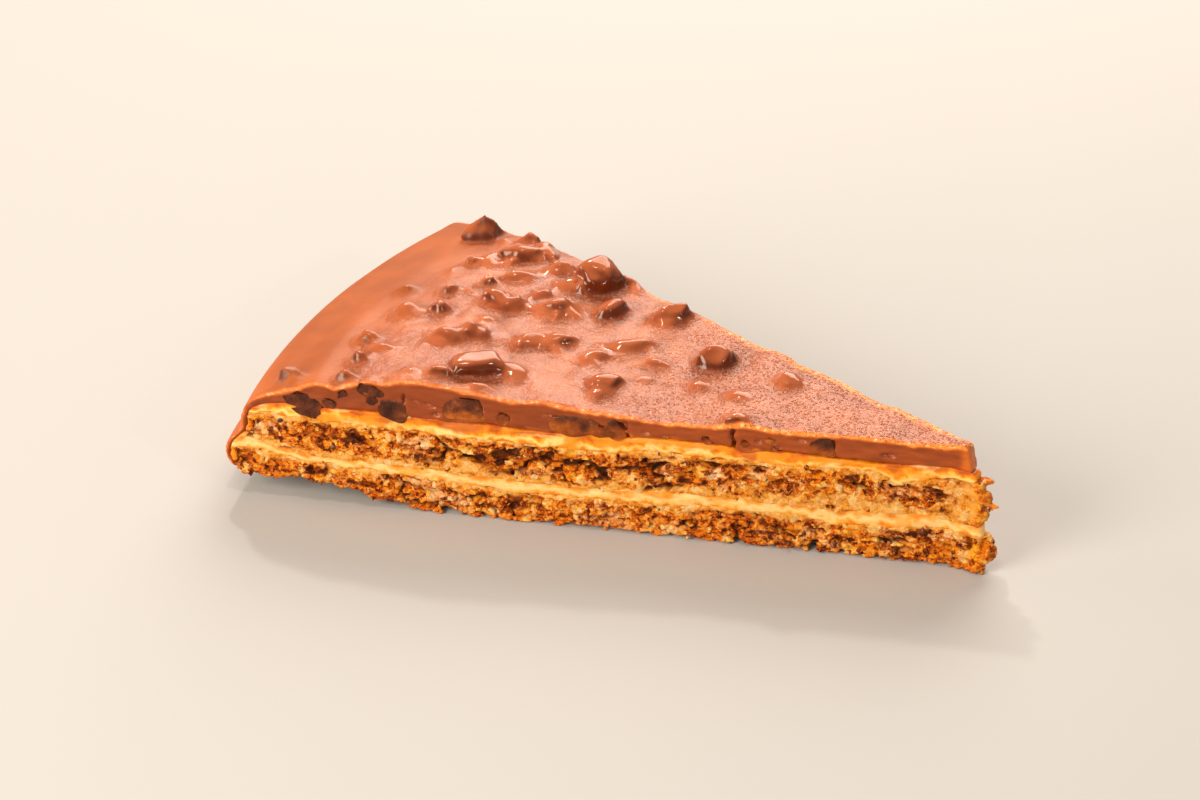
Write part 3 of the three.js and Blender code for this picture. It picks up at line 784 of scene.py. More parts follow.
# Between two edges, from the rim's radius to near the point.
def addSponge(name, bottomEdge, topEdge, reach, start, seed):
    low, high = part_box(name)
    lowest, highest = low.z / millimetre, high.z / millimetre
    margin = spongeBuild["margin"]
    heights = np.arange(lowest - margin, highest + margin, spongeBuild["rise"], dtype=np.float32)
    grid = wedgeGrid(spongeBuild["step"], heights, spongeBuild["depths"], spongeBuild["between"])
    u, radius, share, cut = planOf(grid)
    z = grid[..., 2]
    into = spongeBuild["intoCream"]
    if bottomEdge:
        bottom = edgeHeight(bottomEdge, radius, share) - into
    else:
        bottom = underside(radius) + spongeBuild["underside"]
    top = edgeHeight(topEdge, radius, share) + into
    field = np.maximum(bottom - z, z - top)
    field = blendMax(field, radius - reach, spongeBuild["rimRound"])
    field = np.maximum(field, start - u)
    field = np.maximum(field, cut)
    for r, aside, h, *halves in pointBits[name]:
        off = (grid - np.array((cake["centreX"] - r, aside, h), np.float32)) / np.array(halves, np.float32)
        field = blendMin(field, (np.linalg.norm(off, axis=3) - 1) * min(halves), spongeBuild["bitRound"])
    band = np.nonzero((np.abs(field) < spongeBuild["nearSkin"]).ravel())[0]
    at = grid.reshape(-1, 3)[band]
    relief = crumbRelief(at, seed)
    cutBand = cut.ravel()[band]
    relief = relief * (1 - 0.75 * ease(-cutBand, 1.5, 4.0))
    creamEdges = [(edge, way) for edge, way in ((bottomEdge, 1), (topEdge, -1)) if edge]
    relief = relief * (1 - creamed["fill"] * creamMark(at, creamEdges))
    values = field.ravel()
    values[band] -= relief
    flatRadius = radius.ravel()[band]
    flatField = values[band]
    for side, rows in ((-1, hollows[name]), (1, farHollows(name, lowest, highest))):
        onSide = side * at[:, 1] > 0
        for r, h, halfLength, halfHeight, depth, rise in rows:
            close = onSide & (np.abs(flatRadius - r) < 2 * halfLength + 1)
            along = flatRadius[close] - r
            up = at[close, 2] - h - rise * along
            inward = np.minimum(cutBand[close], 0)
            off = np.sqrt((along / halfLength) ** 2 + (up / halfHeight) ** 2 + (inward / depth) ** 2)
            off += 0.5 * relief[close]
            flatField[close] = blendMax(flatField[close], (1 - off) * halfHeight * 1.3, 0.25)
    values[band] = flatField
    if not bottomEdge:
        ragged = 0.3 * softNoise(at, 1.3, seed + 90)
        values[band] = np.maximum(values[band], (underside(flatRadius) - 0.1 + ragged) - at[:, 2])
        values = np.maximum(values, 0.02 - z.ravel())
    points, faces = largestPart(*skinOf(values.reshape(field.shape), grid))
    u, radius, share, cut = planOf(points)
    relief = crumbRelief(points, seed)
    creamCover = creamMark(points, creamEdges)
    marks = smearMarks(points)
    # Painted shade, strongest in the hollows behind the cut and in the dents of the relief, less under
    # smeared cream.
    marks["pitShade"] = np.clip(ease(-cut, 0.5, 2.2) + 0.85 * ease(-relief, 0.05, 0.9), 0, 1)
    marks["pitShade"] *= 1 - 0.75 * creamCover
    marks["amber"] = np.maximum(marks["amber"], drawnOut(points, u) * (1 - ease(u, -0.5, 3.0)))
    marks["crust"] = (1 - ease(points[:, 2] - underside(radius), 0.4, 1.8)) if not bottomEdge else 0 * radius
    marks["crust"] = np.maximum(marks["crust"], 1 - ease(u + softNoise(points, 1.5, 94), 0.0, 2.2))
    marks["cream"] = creamCover
    return makePiece(name + "_crumb", points, faces, node=name, marks=marks), points, faces, cut


creamBuild = {
    "step": 0.34,
    "rise": 0.28,
    "depths": (-1.2, -0.85, -0.5, -0.15, 0.2, 0.6, 1.1, 1.8, 2.8),
    "between": 8,
    "jag": 0.7,
    "lining": 0.55,  # half the thickness of the cream between the sponges' ends and the skin
    "nearFaces": 3.2,  # how far from the layer's middle its faces are made uneven
    "edgeRound": 0.25,  # how softly its faces run into the cuts, the rim and the point
    "rimRound": 0.6,
    "pointRound": 0.9,
    "smearRelief": 0.32,
    "smear": (3.2, 3.2, 1.1),
}


# Between two edges, from one radius to another. jags: how uneven its upper and its lower face are. wrap:
# the heights between which it also fills the gap at the sponges' ends.
def addCream(name, bottomEdge, topEdge, reach, start, seed, jags, wrap):
    low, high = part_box(name)
    lowest, highest = wrap
    bottomOfGrid = min(low.z / millimetre - 1.8, lowest - 0.6)
    topOfGrid = max(high.z / millimetre, highest) + 1.2
    heights = np.arange(bottomOfGrid, topOfGrid, creamBuild["rise"], dtype=np.float32)
    grid = wedgeGrid(creamBuild["step"], heights, creamBuild["depths"], creamBuild["between"])
    u, radius, share, cut = planOf(grid)
    z = grid[..., 2]
    bottom = edgeHeight(bottomEdge, radius, share)
    top = edgeHeight(topEdge, radius, share)
    middle = (bottom + top) / 2
    band = np.nonzero(((np.abs(z - middle) < creamBuild["nearFaces"]) & (cut < 1.0)).ravel())[0]
    at = grid.reshape(-1, 3)[band]
    jag = creamBuild["jag"] * (roughNoise(at, (2.6, 2.6, 2.0), seed) + 0.7 * roughNoise(at, 0.9, seed + 9))
    flat = np.maximum(bottom - z, z - top).ravel()
    upper = at[:, 2] > middle.ravel()[band]
    flat[band] += jag * np.where(upper, *jags)
    field = blendMax(flat.reshape(z.shape), cut, creamBuild["edgeRound"])
    field = blendMax(field, radius - reach, creamBuild["rimRound"])
    skinAt, thickness = skinRadius(heights)
    lining = np.abs(radius - skinAt + thickness + creamBuild["lining"]) - creamBuild["lining"]
    lining = np.maximum(np.maximum(lining, cut), np.maximum(lowest - z, z - highest))
    field = blendMax(blendMin(field, lining, 0.5), start - u, creamBuild["pointRound"])
    values = field.ravel()
    values[band] -= creamBuild["smearRelief"] * roughNoise(at, creamBuild["smear"], seed + 5)
    points, faces = largestPart(*skinOf(values.reshape(z.shape), grid))
    u, radius, share, cut = planOf(points)
    marks = smearMarks(points)
    low, high = edgeHeight(bottomEdge, radius, share), edgeHeight(topEdge, radius, share)
    marks["rise"] = np.clip((points[:, 2] - low) / (high - low), 0, 1)
    marks["pale"] = np.full(len(points), float(name == "lower_cream"))
    return makePiece(name + "_filling", points, faces, node=name, marks=marks)


# The chocolate coat. Its lumps are toffee under the chocolate: radius, degrees off the slice's middle line,
# length, width, how high it stands out, degrees its length is turned, and how sharp its facets are.
lumps = [
    (85.3, 13.3, 8.5, 7.2, 6, 35, 0.35), (102.1, 12.5, 11.5, 3.9, 3.2, 31, 0.45),
    (89.8, -11.7, 8.7, 4.8, 2.9, 39, 0.8), (53, 5.3, 7.1, 5.6, 3.7, 38, 0.45),
    (95.8, 2.4, 8.3, 4.2, 2.6, -11, 0.3), (85.5, 4.8, 7.3, 4.4, 3, 36, 0.2),
    (68.1, 2, 10.6, 3, 2, 39, 0.35), (67.2, 13.2, 6.7, 4.6, 3.6, 45, 0.5),
    (77.2, 8.5, 6.7, 4.4, 3.3, 50, 0.45), (67.2, -9.8, 7, 4.2, 2.9, 46, 0.45),
    (97.9, -7.2, 6.1, 4.6, 2.4, 33, 0.3), (115.7, 14.6, 6.9, 4, 4.9, 37, 0.95),
    (79.6, -2, 7.2, 3.8, 2.5, 36, 0.3), (109, -2.8, 5.1, 5, 2.0, 33, 0.2),
    (84.4, -3.5, 6.4, 3.8, 2.3, 51, 0.4), (83.3, -11, 4.2, 5, 2, 64, 0.15),
    (94.6, -5, 4.9, 4.2, 3, 53, 0.5), (121.7, -15, 5.6, 3.8, 3.0, 10, 0.4),
    (97.8, 8.5, 6.6, 2.8, 1.9, 39, 0.3), (93.6, 12.8, 5.7, 3.2, 2.2, 43, 0.3),
    (38.5, 6.1, 4.5, 3.8, 2.5, 35, 0.4), (72.3, -3.2, 6, 2.6, 1.8, 48, 0.4),
    (103.8, -1.5, 4.2, 3.6, 2.6, 47, 0.5), (95.4, -14.5, 5, 2.8, 2.1, 39, 0.5),
    (89.2, 10.2, 4.1, 3.2, 1.5, 36, 0.1), (44.2, -4.6, 4.6, 2.8, 1, 29, 0.15),
    (92.3, 3.1, 5.3, 2.4, 2.3, 87, 0.4), (110.6, -12.5, 4, 3, 2.3, 17, 0.5),
    (81.4, 15.9, 4.9, 2.4, 1.9, -1, 0.5), (90.8, 6.8, 4.3, 2.6, 1.9, 42, 0.3),
    (42.6, -14.6, 4.3, 2.6, 1.8, 28, 0.4), (61.3, -0.3, 4.9, 2.2, 1.4, 14, 0.4),
    (68.5, 10.8, 3.3, 3.2, 1.6, 19, 0.1), (105.9, 15.7, 4, 2.6, 2.4, 37, 0.6),
    (88.1, -15.4, 5.2, 2, 1, 32, 0.4), (106.7, 9.8, 4.9, 2, 1.6, 105, 0.2),
    (106, 2.6, 3.7, 2.6, 1.9, 40, 0.4), (108.9, 8.6, 3.4, 2.8, 2.3, 21, 0.5),
    (107.7, -10.4, 4.4, 2.4, 1.6, 21, 0.4), (112.1, -8.3, 3.6, 2.7, 2.3, 31, 0.4),
    (52.2, -3.5, 3.3, 2.6, 0.9, 40, 0.1), (111.5, -15.6, 3.6, 2.7, 2.3, 14, 0.5),
    (101.7, 5.8, 3.2, 2.4, 2.1, 39, 0.6), (100.9, 15.4, 3.2, 2.2, 2.2, 36, 0.6),
    (67.8, -12.8, 3.5, 2, 0.8, 66, 0.3), (113.9, 1.6, 3.1, 2.3, 1.8, 48, 0.2),
    (61.4, -5.2, 2.8, 1.8, 0.8, 27, 0.4), (100, -14.8, 2.5, 2, 1, 30, 0.3),
    (94.5, -1.4, 2.6, 1.8, 1.1, 34, 0.4), (110.4, 6.9, 1.9, 1.6, 0.9, 44, 0.4),
    (110.5, 14.6, 1.4, 1.8, 1.3, 44, 0.4), (103, 3.5, 1.5, 1.6, 1, 40, 0.4),
    (42.3, -16.0, 3.4, 2.0, 1.3, 20, 0.4),
]
# Toffee that the knife laid bare in the near cut: radius, height, length, height of the piece, how it is
# tilted.
bareToffee = [
    (118.6, 20.3, 5.4, 2.9, 34), (111.6, 23.0, 1.0, 1.6, 60), (113.9, 20.9, 2.0, 1.0, 10),
    (107.0, 24.3, 3.8, 1.5, 10), (106.5, 22.3, 1.3, 1.0, 0), (102.6, 20.5, 4.8, 3.0, 6),
    (89.6, 22.4, 6.4, 3.8, -12), (83.0, 21.2, 1.9, 1.5, 30), (70.4, 21.3, 6.8, 2.6, -4),
    (66.2, 20.7, 2.4, 1.6, 0), (63.3, 21.2, 3.2, 3.0, 25), (47.6, 20.8, 1.1, 1.2, 0),
    (40.8, 20.9, 1.1, 0.9, 0), (36.4, 22.0, 1.6, 0.8, 0), (27.0, 22.0, 3.6, 2.6, 0),
]
# Cracks and pits in the near cut: radius, height, half its length, half its height, depth, rise per
# millimetre.
coatPits = [
    (100.5, 23.3, 0.35, 1.3, 1.6, 0), (61.4, 21.2, 0.25, 1.8, 1.4, 0), (42.8, 21.4, 0.4, 2.6, 2.0, 0),
    (97.5, 22.6, 2.4, 0.25, 1.0, 0.2), (35.5, 20.6, 0.9, 0.5, 1.0, 0), (38.6, 21.6, 0.7, 0.45, 0.9, 0),
    (58.0, 21.0, 0.9, 0.4, 0.9, 0), (54.0, 20.6, 1.2, 0.35, 0.8, 0.1), (75.0, 22.6, 1.6, 0.3, 0.9, 0.1),
    (31.0, 22.6, 1.4, 0.3, 0.7, 0), (16.0, 21.4, 1.2, 0.35, 0.7, 0), (94.6, 20.6, 0.9, 0.5, 1.0, 0),
]
coat = {
    "step": 0.4,
    "rise": 0.36,
    "facets": 12,
    "blockFrom": 0.7,  # the sharpness from which a lump is a broken block, and a shard
    "shardFrom": 0.9,
    "blockRound": 1.5,
    "fillet": 2.1,  # how softly a lump runs into the coat
    "taller": 1.1,  # how much larger all lumps are than their rows say
    "wider": 1.2,
    "tallerAtRim": 0.1,  # more for those lower than this, from this radius on
    "lowerThan": 2.7,
    "rimFrom": 94,
    "sink": 2.3,  # how far a lump reaches into the coat
    "dipReach": 1.6,  # how wide the neighbourhood is that measures the hollows between the lumps, for the shade painted in them
    "front": (1.3, 20.1, 0.33),  # end face at the point: how far back, at which height, back for each mm up
    "frontRound": 0.8,
    "topRound": 1.2,  # how softly the top runs into the skin down the rim
    "skinEdgeRound": 0.5,
    "nearSkin": 1.6,  # how far from the plain form its waves reach
    "wave": 0.8,  # height of the top's soft waves, and their size
    "waveSize": (5.4, 5.4, 12.0),
    "smoothRim": (104, 117),  # the radii between which they end
    "swell": 0.12,
    "swellSize": (14.0, 14.0, 14.0),
    "skinEdge": 5.0,  # height of the skin's lower edge
    # The skin's outer face down the rim, as (height, radius, thickness).
    "skin": [(4, 130.8, 0.4), (5, 131.7, 0.5), (6.2, 132.9, 0.8), (7, 133.3, 0.9), (8, 133.6, 0.9),
             (9, 133.6, 0.9), (10, 133.4, 0.9), (11, 132.9, 0.9), (12, 131.9, 0.9), (13, 130.9, 1.0),
             (14, 130.4, 1.0), (16, 130.4, 1.1), (18, 129.7, 1.4), (20, 128.2, 1.9), (22, 125.5, 2.0),
             (24, 121.0, 2.0), (28, 112.0, 2.0)],
}


def polar(radius, degrees, height):
    angle = math.radians(degrees)
    x, y = cake["centreX"] - radius * math.cos(angle), radius * math.sin(angle)
    return np.array((x, y, height), np.float32)


# The distance to a rough stone about a point: an ellipsoid with flat facets that cut deeper the sharper it
# is, from a certain sharpness on a block with rounded edges, and beyond that a shard that rises to a peak.
def stone(points, centre, halves, turn, sharpness, seed):
    draw = np.random.default_rng(seed)
    spin = math.radians(turn)
    ahead = np.array((math.cos(spin), math.sin(spin), 0), np.float32)
    aside = np.array((-math.sin(spin), math.cos(spin), 0), np.float32)
    off = points - centre
    local = np.stack([off @ ahead, off @ aside, off[:, 2]], 1)
    halves = np.array(halves, np.float32)
    if sharpness > coat["shardFrom"]:
        narrow = 1 - 0.55 * np.clip(local[:, 2:] / halves[2], -0.2, 1)
        local[:, :2] = local[:, :2] / np.concatenate([narrow, narrow], 1)
    far = np.linalg.norm(local / halves, axis=1) + 1e-6
    steep = np.linalg.norm(local / halves**2, axis=1) + 1e-6
    distance = far * (far - 1) / steep
    block = coat["blockFrom"] < sharpness <= coat["shardFrom"]
    if block:
        beyond = np.abs(local) - (0.88 * halves - coat["blockRound"])
        distance = np.linalg.norm(np.maximum(beyond, 0), axis=1) + np.minimum(beyond.max(axis=1), 0)
        distance -= coat["blockRound"]
    for facet in range(coat["facets"]):
        normal = draw.normal(size=3)
        normal[2] = abs(normal[2]) * 0.8
        normal /= np.linalg.norm(normal)
        chipped = draw.uniform(0.04, 0.16) + sharpness * draw.uniform(0.05, 0.32)
        if block:
            reach = (np.abs(normal) * halves).sum() * (1 - 0.9 * chipped)
        else:
            reach = np.linalg.norm(normal * halves) * (1 - chipped)
        distance = blendMax(distance, local @ normal.astype(np.float32) - reach, 0.45 - 0.3 * sharpness)
    return distance


# A knot of three such stones grown together, or one block or shard, with a crinkled skin.
def knot(points, centre, halves, turn, sharpness, seed):
    draw = np.random.default_rng(seed)
    bent = bentSpace(points, 2.0, 0.1 + 0.12 * sharpness, seed)
    if sharpness > coat["blockFrom"]:
        return stone(bent, centre, halves, turn, sharpness, seed)
    spin = math.radians(turn)
    whole = stone(bent, centre, np.array(halves) * (0.86, 0.86, 0.92), turn, sharpness, seed)
    for other in range(2):
        along, aside = draw.uniform(-0.62, 0.62) * halves[0], draw.uniform(-0.5, 0.5) * halves[1]
        place = centre + np.array((
            along * math.cos(spin) - aside * math.sin(spin), along * math.sin(spin) + aside * math.cos(spin),
            draw.uniform(-0.35, 0.05) * halves[2]), np.float32)
        size = np.array(halves) * draw.uniform(0.42, 0.66)
        grown = stone(bent, place, size, draw.uniform(0, 180), sharpness, seed + 50 * other)
        whole = blendMin(whole, grown, 0.35)
    return whole


def skinRadius(z):
    heights, radii, thickness = zip(*coat["skin"])
    outline = smoothed(z, list(zip(heights, radii)), 0.6)
    return outline.astype(np.float32), np.interp(z, heights, thickness).astype(np.float32)


outOfNearCut = np.array((math.sin(halfAngle), -math.cos(halfAngle), 0), np.float32)
alongNearCut = np.array((-math.cos(halfAngle), math.sin(-halfAngle), 0), np.float32)


# How deep each column of the coat lies among the lumps round it; the shade painted in the valleys follows it.
def dipsOf(field, axes, step):
    filled = field < 0
    last = filled.shape[2] - 1 - np.argmax(filled[:, :, ::-1], axis=2)
    top = np.where(filled.any(2), axes[2][last], np.nan)
    known = np.isfinite(top).astype(np.float32)
    reach = np.arange(-3 * coat["dipReach"], 3 * coat["dipReach"] + step, step)
    weights = np.exp(-((reach / coat["dipReach"]) ** 2))
    total = [np.nan_to_num(top), known]
    for axis in range(2):
        total = [np.apply_along_axis(np.convolve, axis, each, weights, "same") for each in total]
    return total[0] / np.maximum(total[1], 1e-6) - np.nan_to_num(top)


# The coat before the lumps and the knife: the wavy top, the skin down the rim, and the end face at the point.
def plainCoat(axes, grid):
    u, radius, share, cut = planOf(grid[:, :, 0])
    z = axes[2][None, None, :]
    top = edgeHeight("chocolateTop", radius, share)[..., None]
    under = edgeHeight("upperCreamTop", radius, share)[..., None] + 0.05
    skinAt, thickness = skinRadius(axes[2])
    outer = blendMax(radius[..., None] - skinAt, z - top, coat["topRound"])
    void = blendMax(radius[..., None] - (skinAt - thickness), z - under, 0.6)
    field = np.maximum(outer, -void)
    alongRim = np.stack([grid[:, :, 0, 1], radius, 0 * radius], -1).reshape(-1, 3)
    lowest = coat["skinEdge"] + 0.5 * softNoise(alongRim, 5.0, 23).reshape(radius.shape)
    field = blendMax(field, lowest[..., None] - z, coat["skinEdgeRound"])
    back, height, slant = coat["front"]
    front = back + (z - height) * slant + 0.3 * softNoise(grid.reshape(-1, 3), 1.8, 29).reshape(field.shape)
    field = blendMax(field, front - u[..., None], coat["frontRound"])
    columns = (cut[..., None], top, radius[..., None])
    cut, top, radius = (np.broadcast_to(each, field.shape).ravel() for each in columns)
    values = field.ravel()
    band = np.nonzero((np.abs(values) < coat["nearSkin"]) & (cut < coat["nearSkin"]))[0]
    at = grid.reshape(-1, 3)[band]
    textured = 1 - ease(radius[band], *coat["smoothRim"])
    wave = coat["wave"] * roughNoise(at, coat["waveSize"], 31) * textured
    wave += coat["swell"] * roughNoise(at, coat["swellSize"], 33)
    values[band] -= wave
    return values.reshape(field.shape), cut, top, radius


def growLumps(field, axes, grid):
    gaps = (coat["step"], coat["step"], coat["rise"])
    for number, (r, degrees, length, width, height, turn, sharpness) in enumerate(lumps):
        share = np.float32(2 * degrees / cake["sliceDegrees"])
        shelf = float(edgeHeight("chocolateTop", np.float32(r), share))
        small = r > coat["rimFrom"] and height < coat["lowerThan"]
        height *= coat["taller"] + (coat["tallerAtRim"] if small else 0)
        tall = height + coat["sink"]
        centre = polar(r, degrees, shelf + height - tall / 2)
        length, width = length * coat["wider"], width * coat["wider"]
        spread = max(length, width) / 2 + 2.5
        window = tuple(
            slice(max(0, int((middle - reach - line[0]) / gap)), int((middle + reach - line[0]) / gap) + 2)
            for middle, reach, line, gap in zip(centre, (spread, spread, tall / 2 + 2.0), axes, gaps)
        )
        near = grid[window].reshape(-1, 3)
        shape = field[window].shape
        lump = knot(near, centre, (length / 2, width / 2, tall / 2), turn, sharpness, 700 + number)
        field[window] = blendMin(field[window], lump.reshape(shape), coat["fillet"] * (1.35 - sharpness))


# The knife leaves a flat cut with a raised lip, streaks along it, cracks and pits, and lays toffee bare.
knife = {
    "reach": 2.2,  # how far from the cut's plane it shapes the coat
    "lipRise": 0.3,
    "lipBelow": 0.3,  # how far below the top the lip stands out most
    "lipWidth": 0.8,
    "lipOnTop": 0.35,  # the share of the lip that also raises the top's edge
    "streak": (5.0, 5.0, 0.9),
    "streakDepth": 0.16,
    "scratch": (1.6, 1.6, 0.7),
    "scratchDepth": 0.1,
    "edgeRound": 0.35,
    "toffeeIn": 0.7,  # how far the bare toffee lies behind the cut
    "squareness": 3.5,  # how square the windows are that the toffee shows in: 2 is round
}


def cutByKnife(values, grid, cut, top, radius):
    band = np.nonzero((np.abs(cut) < knife["reach"]) & (values < 2.0))[0]
    at = grid.reshape(-1, 3)[band]
    cutBand, bandRadius = cut[band], radius[band]
    belowTop = top[band] - at[:, 2]
    lip = knife["lipRise"] * np.exp(-((belowTop - knife["lipBelow"]) / knife["lipWidth"]) ** 2)
    streaks = knife["streakDepth"] * roughNoise(at, knife["streak"], 51)
    streaks = streaks + knife["scratchDepth"] * softNoise(at, knife["scratch"], 52)
    lip *= 0.8 + 0.6 * softNoise(at, 2.2, 53)
    blade = cutBand - lip - streaks
    for r, h, halfLength, halfHeight, depth, slope in coatPits:
        close = (np.abs(bandRadius - r) < 2 * halfLength + 1) & (at[:, 1] < 0)
        along = bandRadius[close] - r + 0.35 * softNoise(at[close], 1.0, 56)
        up = at[close, 2] - h - slope * along
        inward = np.minimum(cutBand[close], 0)
        off = np.sqrt((along / halfLength) ** 2 + (up / halfHeight) ** 2 + (inward / depth) ** 2)
        off += 0.3 * softNoise(at[close], 0.8, 77)
        blade[close] = blendMax(blade[close], (1 - off) * min(halfHeight, halfLength) * 1.4, 0.2)
    for r, h, length, tall, tilt in bareToffee:
        close = (np.abs(bandRadius - r) < length) & (at[:, 1] < 0)
        uneven = min(0.3, 0.12 * length)
        along = bandRadius[close] - r + uneven * softNoise(at[close], 1.3, 54)
        up = at[close, 2] - h - 0.2 + uneven * softNoise(at[close], 1.1, 55)
        tip = math.radians(tilt)
        ahead = np.abs(along * math.cos(tip) + up * math.sin(tip)) / (0.45 * length)
        aside = np.abs(up * math.cos(tip) - along * math.sin(tip)) / (0.45 * tall)
        off = (ahead ** knife["squareness"] + aside ** knife["squareness"]) ** (1 / knife["squareness"])
        wall = knife["toffeeIn"] + np.minimum(cutBand[close], 0) * 0.9
        blade[close] = blendMax(blade[close], np.minimum((1 - off) * min(length, tall) / 2, wall), 0.12)
    values[band] = blendMax(values[band] - knife["lipOnTop"] * lip, blade, knife["edgeRound"])
    rest = cut >= knife["reach"]
    values[rest] = np.maximum(values[rest], cut[rest])
    return values


# Marks from 0 to 1 that tell the finish where the coat is cut, smooth, lumpy or steep, and where it paints
# light and shade: a glowing lip with a highlight, shade on the steep sides of the lumps, and shade in the
# valleys between them.
def coatMarks(points, faces, dip, axes):
    u, radius, share, cut = planOf(points)
    topHere = edgeHeight("chocolateTop", radius, share)
    rise = points[:, 2] - topHere
    column = tuple(((points[:, axis] - axes[axis][0]) / coat["step"]).astype(int) for axis in range(2))
    normals = normalsOf(points, faces)
    # Painted shade on the steep sides of the lumps, most on the sides that face forward and to the right.
    shadedSide = ease(normals @ np.array((0.85, -0.53, 0.0)), -0.35, 0.35)
    steep = ease(0.88 - normals[:, 2], 0.0, 0.45) * (0.15 + 0.85 * shadedSide)
    uneven = 0.35 * softNoise(points, 1.7, 8) + 0.15 * softNoise(points, 0.7, 9)
    # The lip mark carries painted light: a glowing orange edge with a pale highlight along the cut's top, the
    # far edge, the skin's edge down the rim and the end face at the point.
    farInward = 0.9 * (points[:, 1] > 0) * (1 - ease(radius, 60, 90))
    lip = ease(cut + farInward, -0.7, 0.0) * (1 - ease(np.abs(-rise - 0.15 + uneven), 0.3, 0.85))
    lip *= radius < 129
    fromSkin = np.abs(radius - skinRadius(points[:, 2])[0]) + 0.3 * softNoise(points, 1.4, 12)
    skinLipHighlight = ease(cut, -0.7, 0.0) * (1 - ease(fromSkin, 0.2, 0.7)) * (1 - ease(points[:, 2], 17, 19.5))
    lip = np.maximum(lip, skinLipHighlight)
    return {
        "cutFace": ease(cut, -0.32, -0.12) * ease(-rise, 0.1, 0.9),
        "lip": np.maximum(lip, 0.62 * ease(points[:, 0], cake["centreX"] - 4.4, cake["centreX"] - 2.8)),
        "smooth": ease(radius + 4.0 * softNoise(points, 7.0, 3), 103, 121),
        "lump": ease(rise, 0.25, 1.1),
        "crown": ease(rise, 1.0, 3.4),
        "beads": 1 - ease(radius, 40, 78),
        "steep": ease(rise, 0.0, 0.7) * steep,
        # painted shade in the valleys among the lumps
        "valleyShade": ease(dip[column], 0.02, 0.5) * ease(rise, -0.8, -0.2) * (1 - ease(radius, 112, 120)),
        **smearMarks(points),
    }


def addChocolate():
    low, high = (Vector(corner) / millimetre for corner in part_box("milk_chocolate"))
    step, rise = coat["step"], coat["rise"]
    axes = [
        np.arange(low.x - 1.5, high.x + 1.5, step, dtype=np.float32),
        np.arange(low.y - 1.5, high.y + 1.5, step, dtype=np.float32),
        np.arange(low.z - 1.2, high.z + 1.5, rise, dtype=np.float32),
    ]
    grid = np.stack(np.meshgrid(*axes, indexing="ij"), -1)
    field, cut, top, radius = plainCoat(axes, grid)
    growLumps(field, axes, grid)
    dip = dipsOf(field, axes, step)
    values = cutByKnife(field.ravel(), grid, cut, top, radius)
    points, faces = largestPart(*skinOf(values.reshape(field.shape), grid))
    marks = coatMarks(points, faces, dip, axes)
    return makePiece("chocolate_coat", points, faces, node="milk_chocolate", marks=marks)


# One mesh of many small stones, each a ball cut flat by a few random facets. ring: how finely the ball is
# divided. front: where the knife cut it off, if it did.
def scatter(name, seats, ring=2, front=None, marksOf=None):
    ball = bmesh.new()
    bmesh.ops.create_icosphere(ball, subdivisions=ring, radius=1.0)
    corners = np.array([corner.co[:] for corner in ball.verts], np.float32)
    sides = np.array([[corner.index for corner in face.verts] for face in ball.faces])
    ball.free()
    points, faces = [], []
    for number, (centre, halves, axes, facets) in enumerate(seats):
        draw = np.random.default_rng(number + 10 * len(seats))
        normals = draw.normal(size=(facets, 3))
        if front:  # its facets stand round the knife's cut like the sides of a block
            about = 2 * math.pi * (np.arange(facets) + draw.uniform(-0.36, 0.36, facets)) / facets
            normals = np.stack([np.cos(about), np.sin(about), 0.25 * normals[:, 2]], 1)
        normals /= np.linalg.norm(normals, axis=1)[:, None]
        nearest, farthest = (0.52, 0.72) if front else (0.6, 0.9)
        against = np.maximum(corners @ normals.T, 0) / draw.uniform(nearest, farthest, facets)
        reach = 1 / np.maximum(1.0, (against**24).sum(1) ** (1 / 24))
        reach *= 1 + 0.1 * softNoise(corners * 2.3 + number * 7.1, 1.0, 5)
        local = corners * reach[:, None] * np.array(halves, np.float32)
        if front:  # cut flat by the knife
            local[:, 2] = np.minimum(local[:, 2], front + 0.14 * softNoise(local + number, 1.1, 6))
        points.append(centre + local @ np.array(axes, np.float32))
        faces.append(sides + number * len(corners))
    points = np.concatenate(points)
    return makePiece(name, points, np.concatenate(faces), marks=marksOf(points) if marksOf else None)


def turned(normal, spin):
    normal = np.array(normal, np.float32)
    normal /= np.linalg.norm(normal)
    across = np.cross(normal, (0.3, 0.2, 0.93))
    across /= np.linalg.norm(across)
    upright = np.cross(across, normal)
    ahead = math.cos(spin) * across + math.sin(spin) * upright
    return ahead, np.cross(normal, ahead), normal


# The crumbly golden lower part of the two wide pieces; the rest is dark throughout.
def goldenPart(points):
    height = points[:, 2] + 1.6 * roughNoise(points, 2.2, 7)
    return {"low": (1 - ease(height, 20.6, 22.8)) * (1 - ease(planOf(points)[1], 93, 97))}


toffeeBuild = {
    "inset": 0.75,  # how far a piece's middle lies behind the cut
    "shift": 0.12,  # and how far towards the point and down
    "larger": 0.3,  # how far it reaches past the window in the coat, so that the coat holds it
    "thick": 1.6,
    "flat": 0.85,  # where the knife cut its front flat
    "fourSided": 5.0,  # from this length on
}


def addBareToffee():
    seats = []
    for radius, height, length, tall, tilt in bareToffee:
        tip = math.radians(tilt)
        ahead = alongNearCut * math.cos(tip) + np.array((0, 0, math.sin(tip)), np.float32)
        upright = np.array((0, 0, math.cos(tip)), np.float32) - alongNearCut * math.sin(tip)
        shift, larger = toffeeBuild["shift"], toffeeBuild["larger"]
        centre = polar(radius - shift, -cake["sliceDegrees"] / 2, height - shift)
        centre = centre - toffeeBuild["inset"] * outOfNearCut
        corners = 4 if length > toffeeBuild["fourSided"] else 5
        halves = (0.8 * length + larger, 0.8 * tall + larger, toffeeBuild["thick"])
        seats.append((centre, halves, (ahead, upright, outOfNearCut), corners))
    return scatter("bare_toffee", seats, ring=5, front=toffeeBuild["flat"], marksOf=goldenPart)


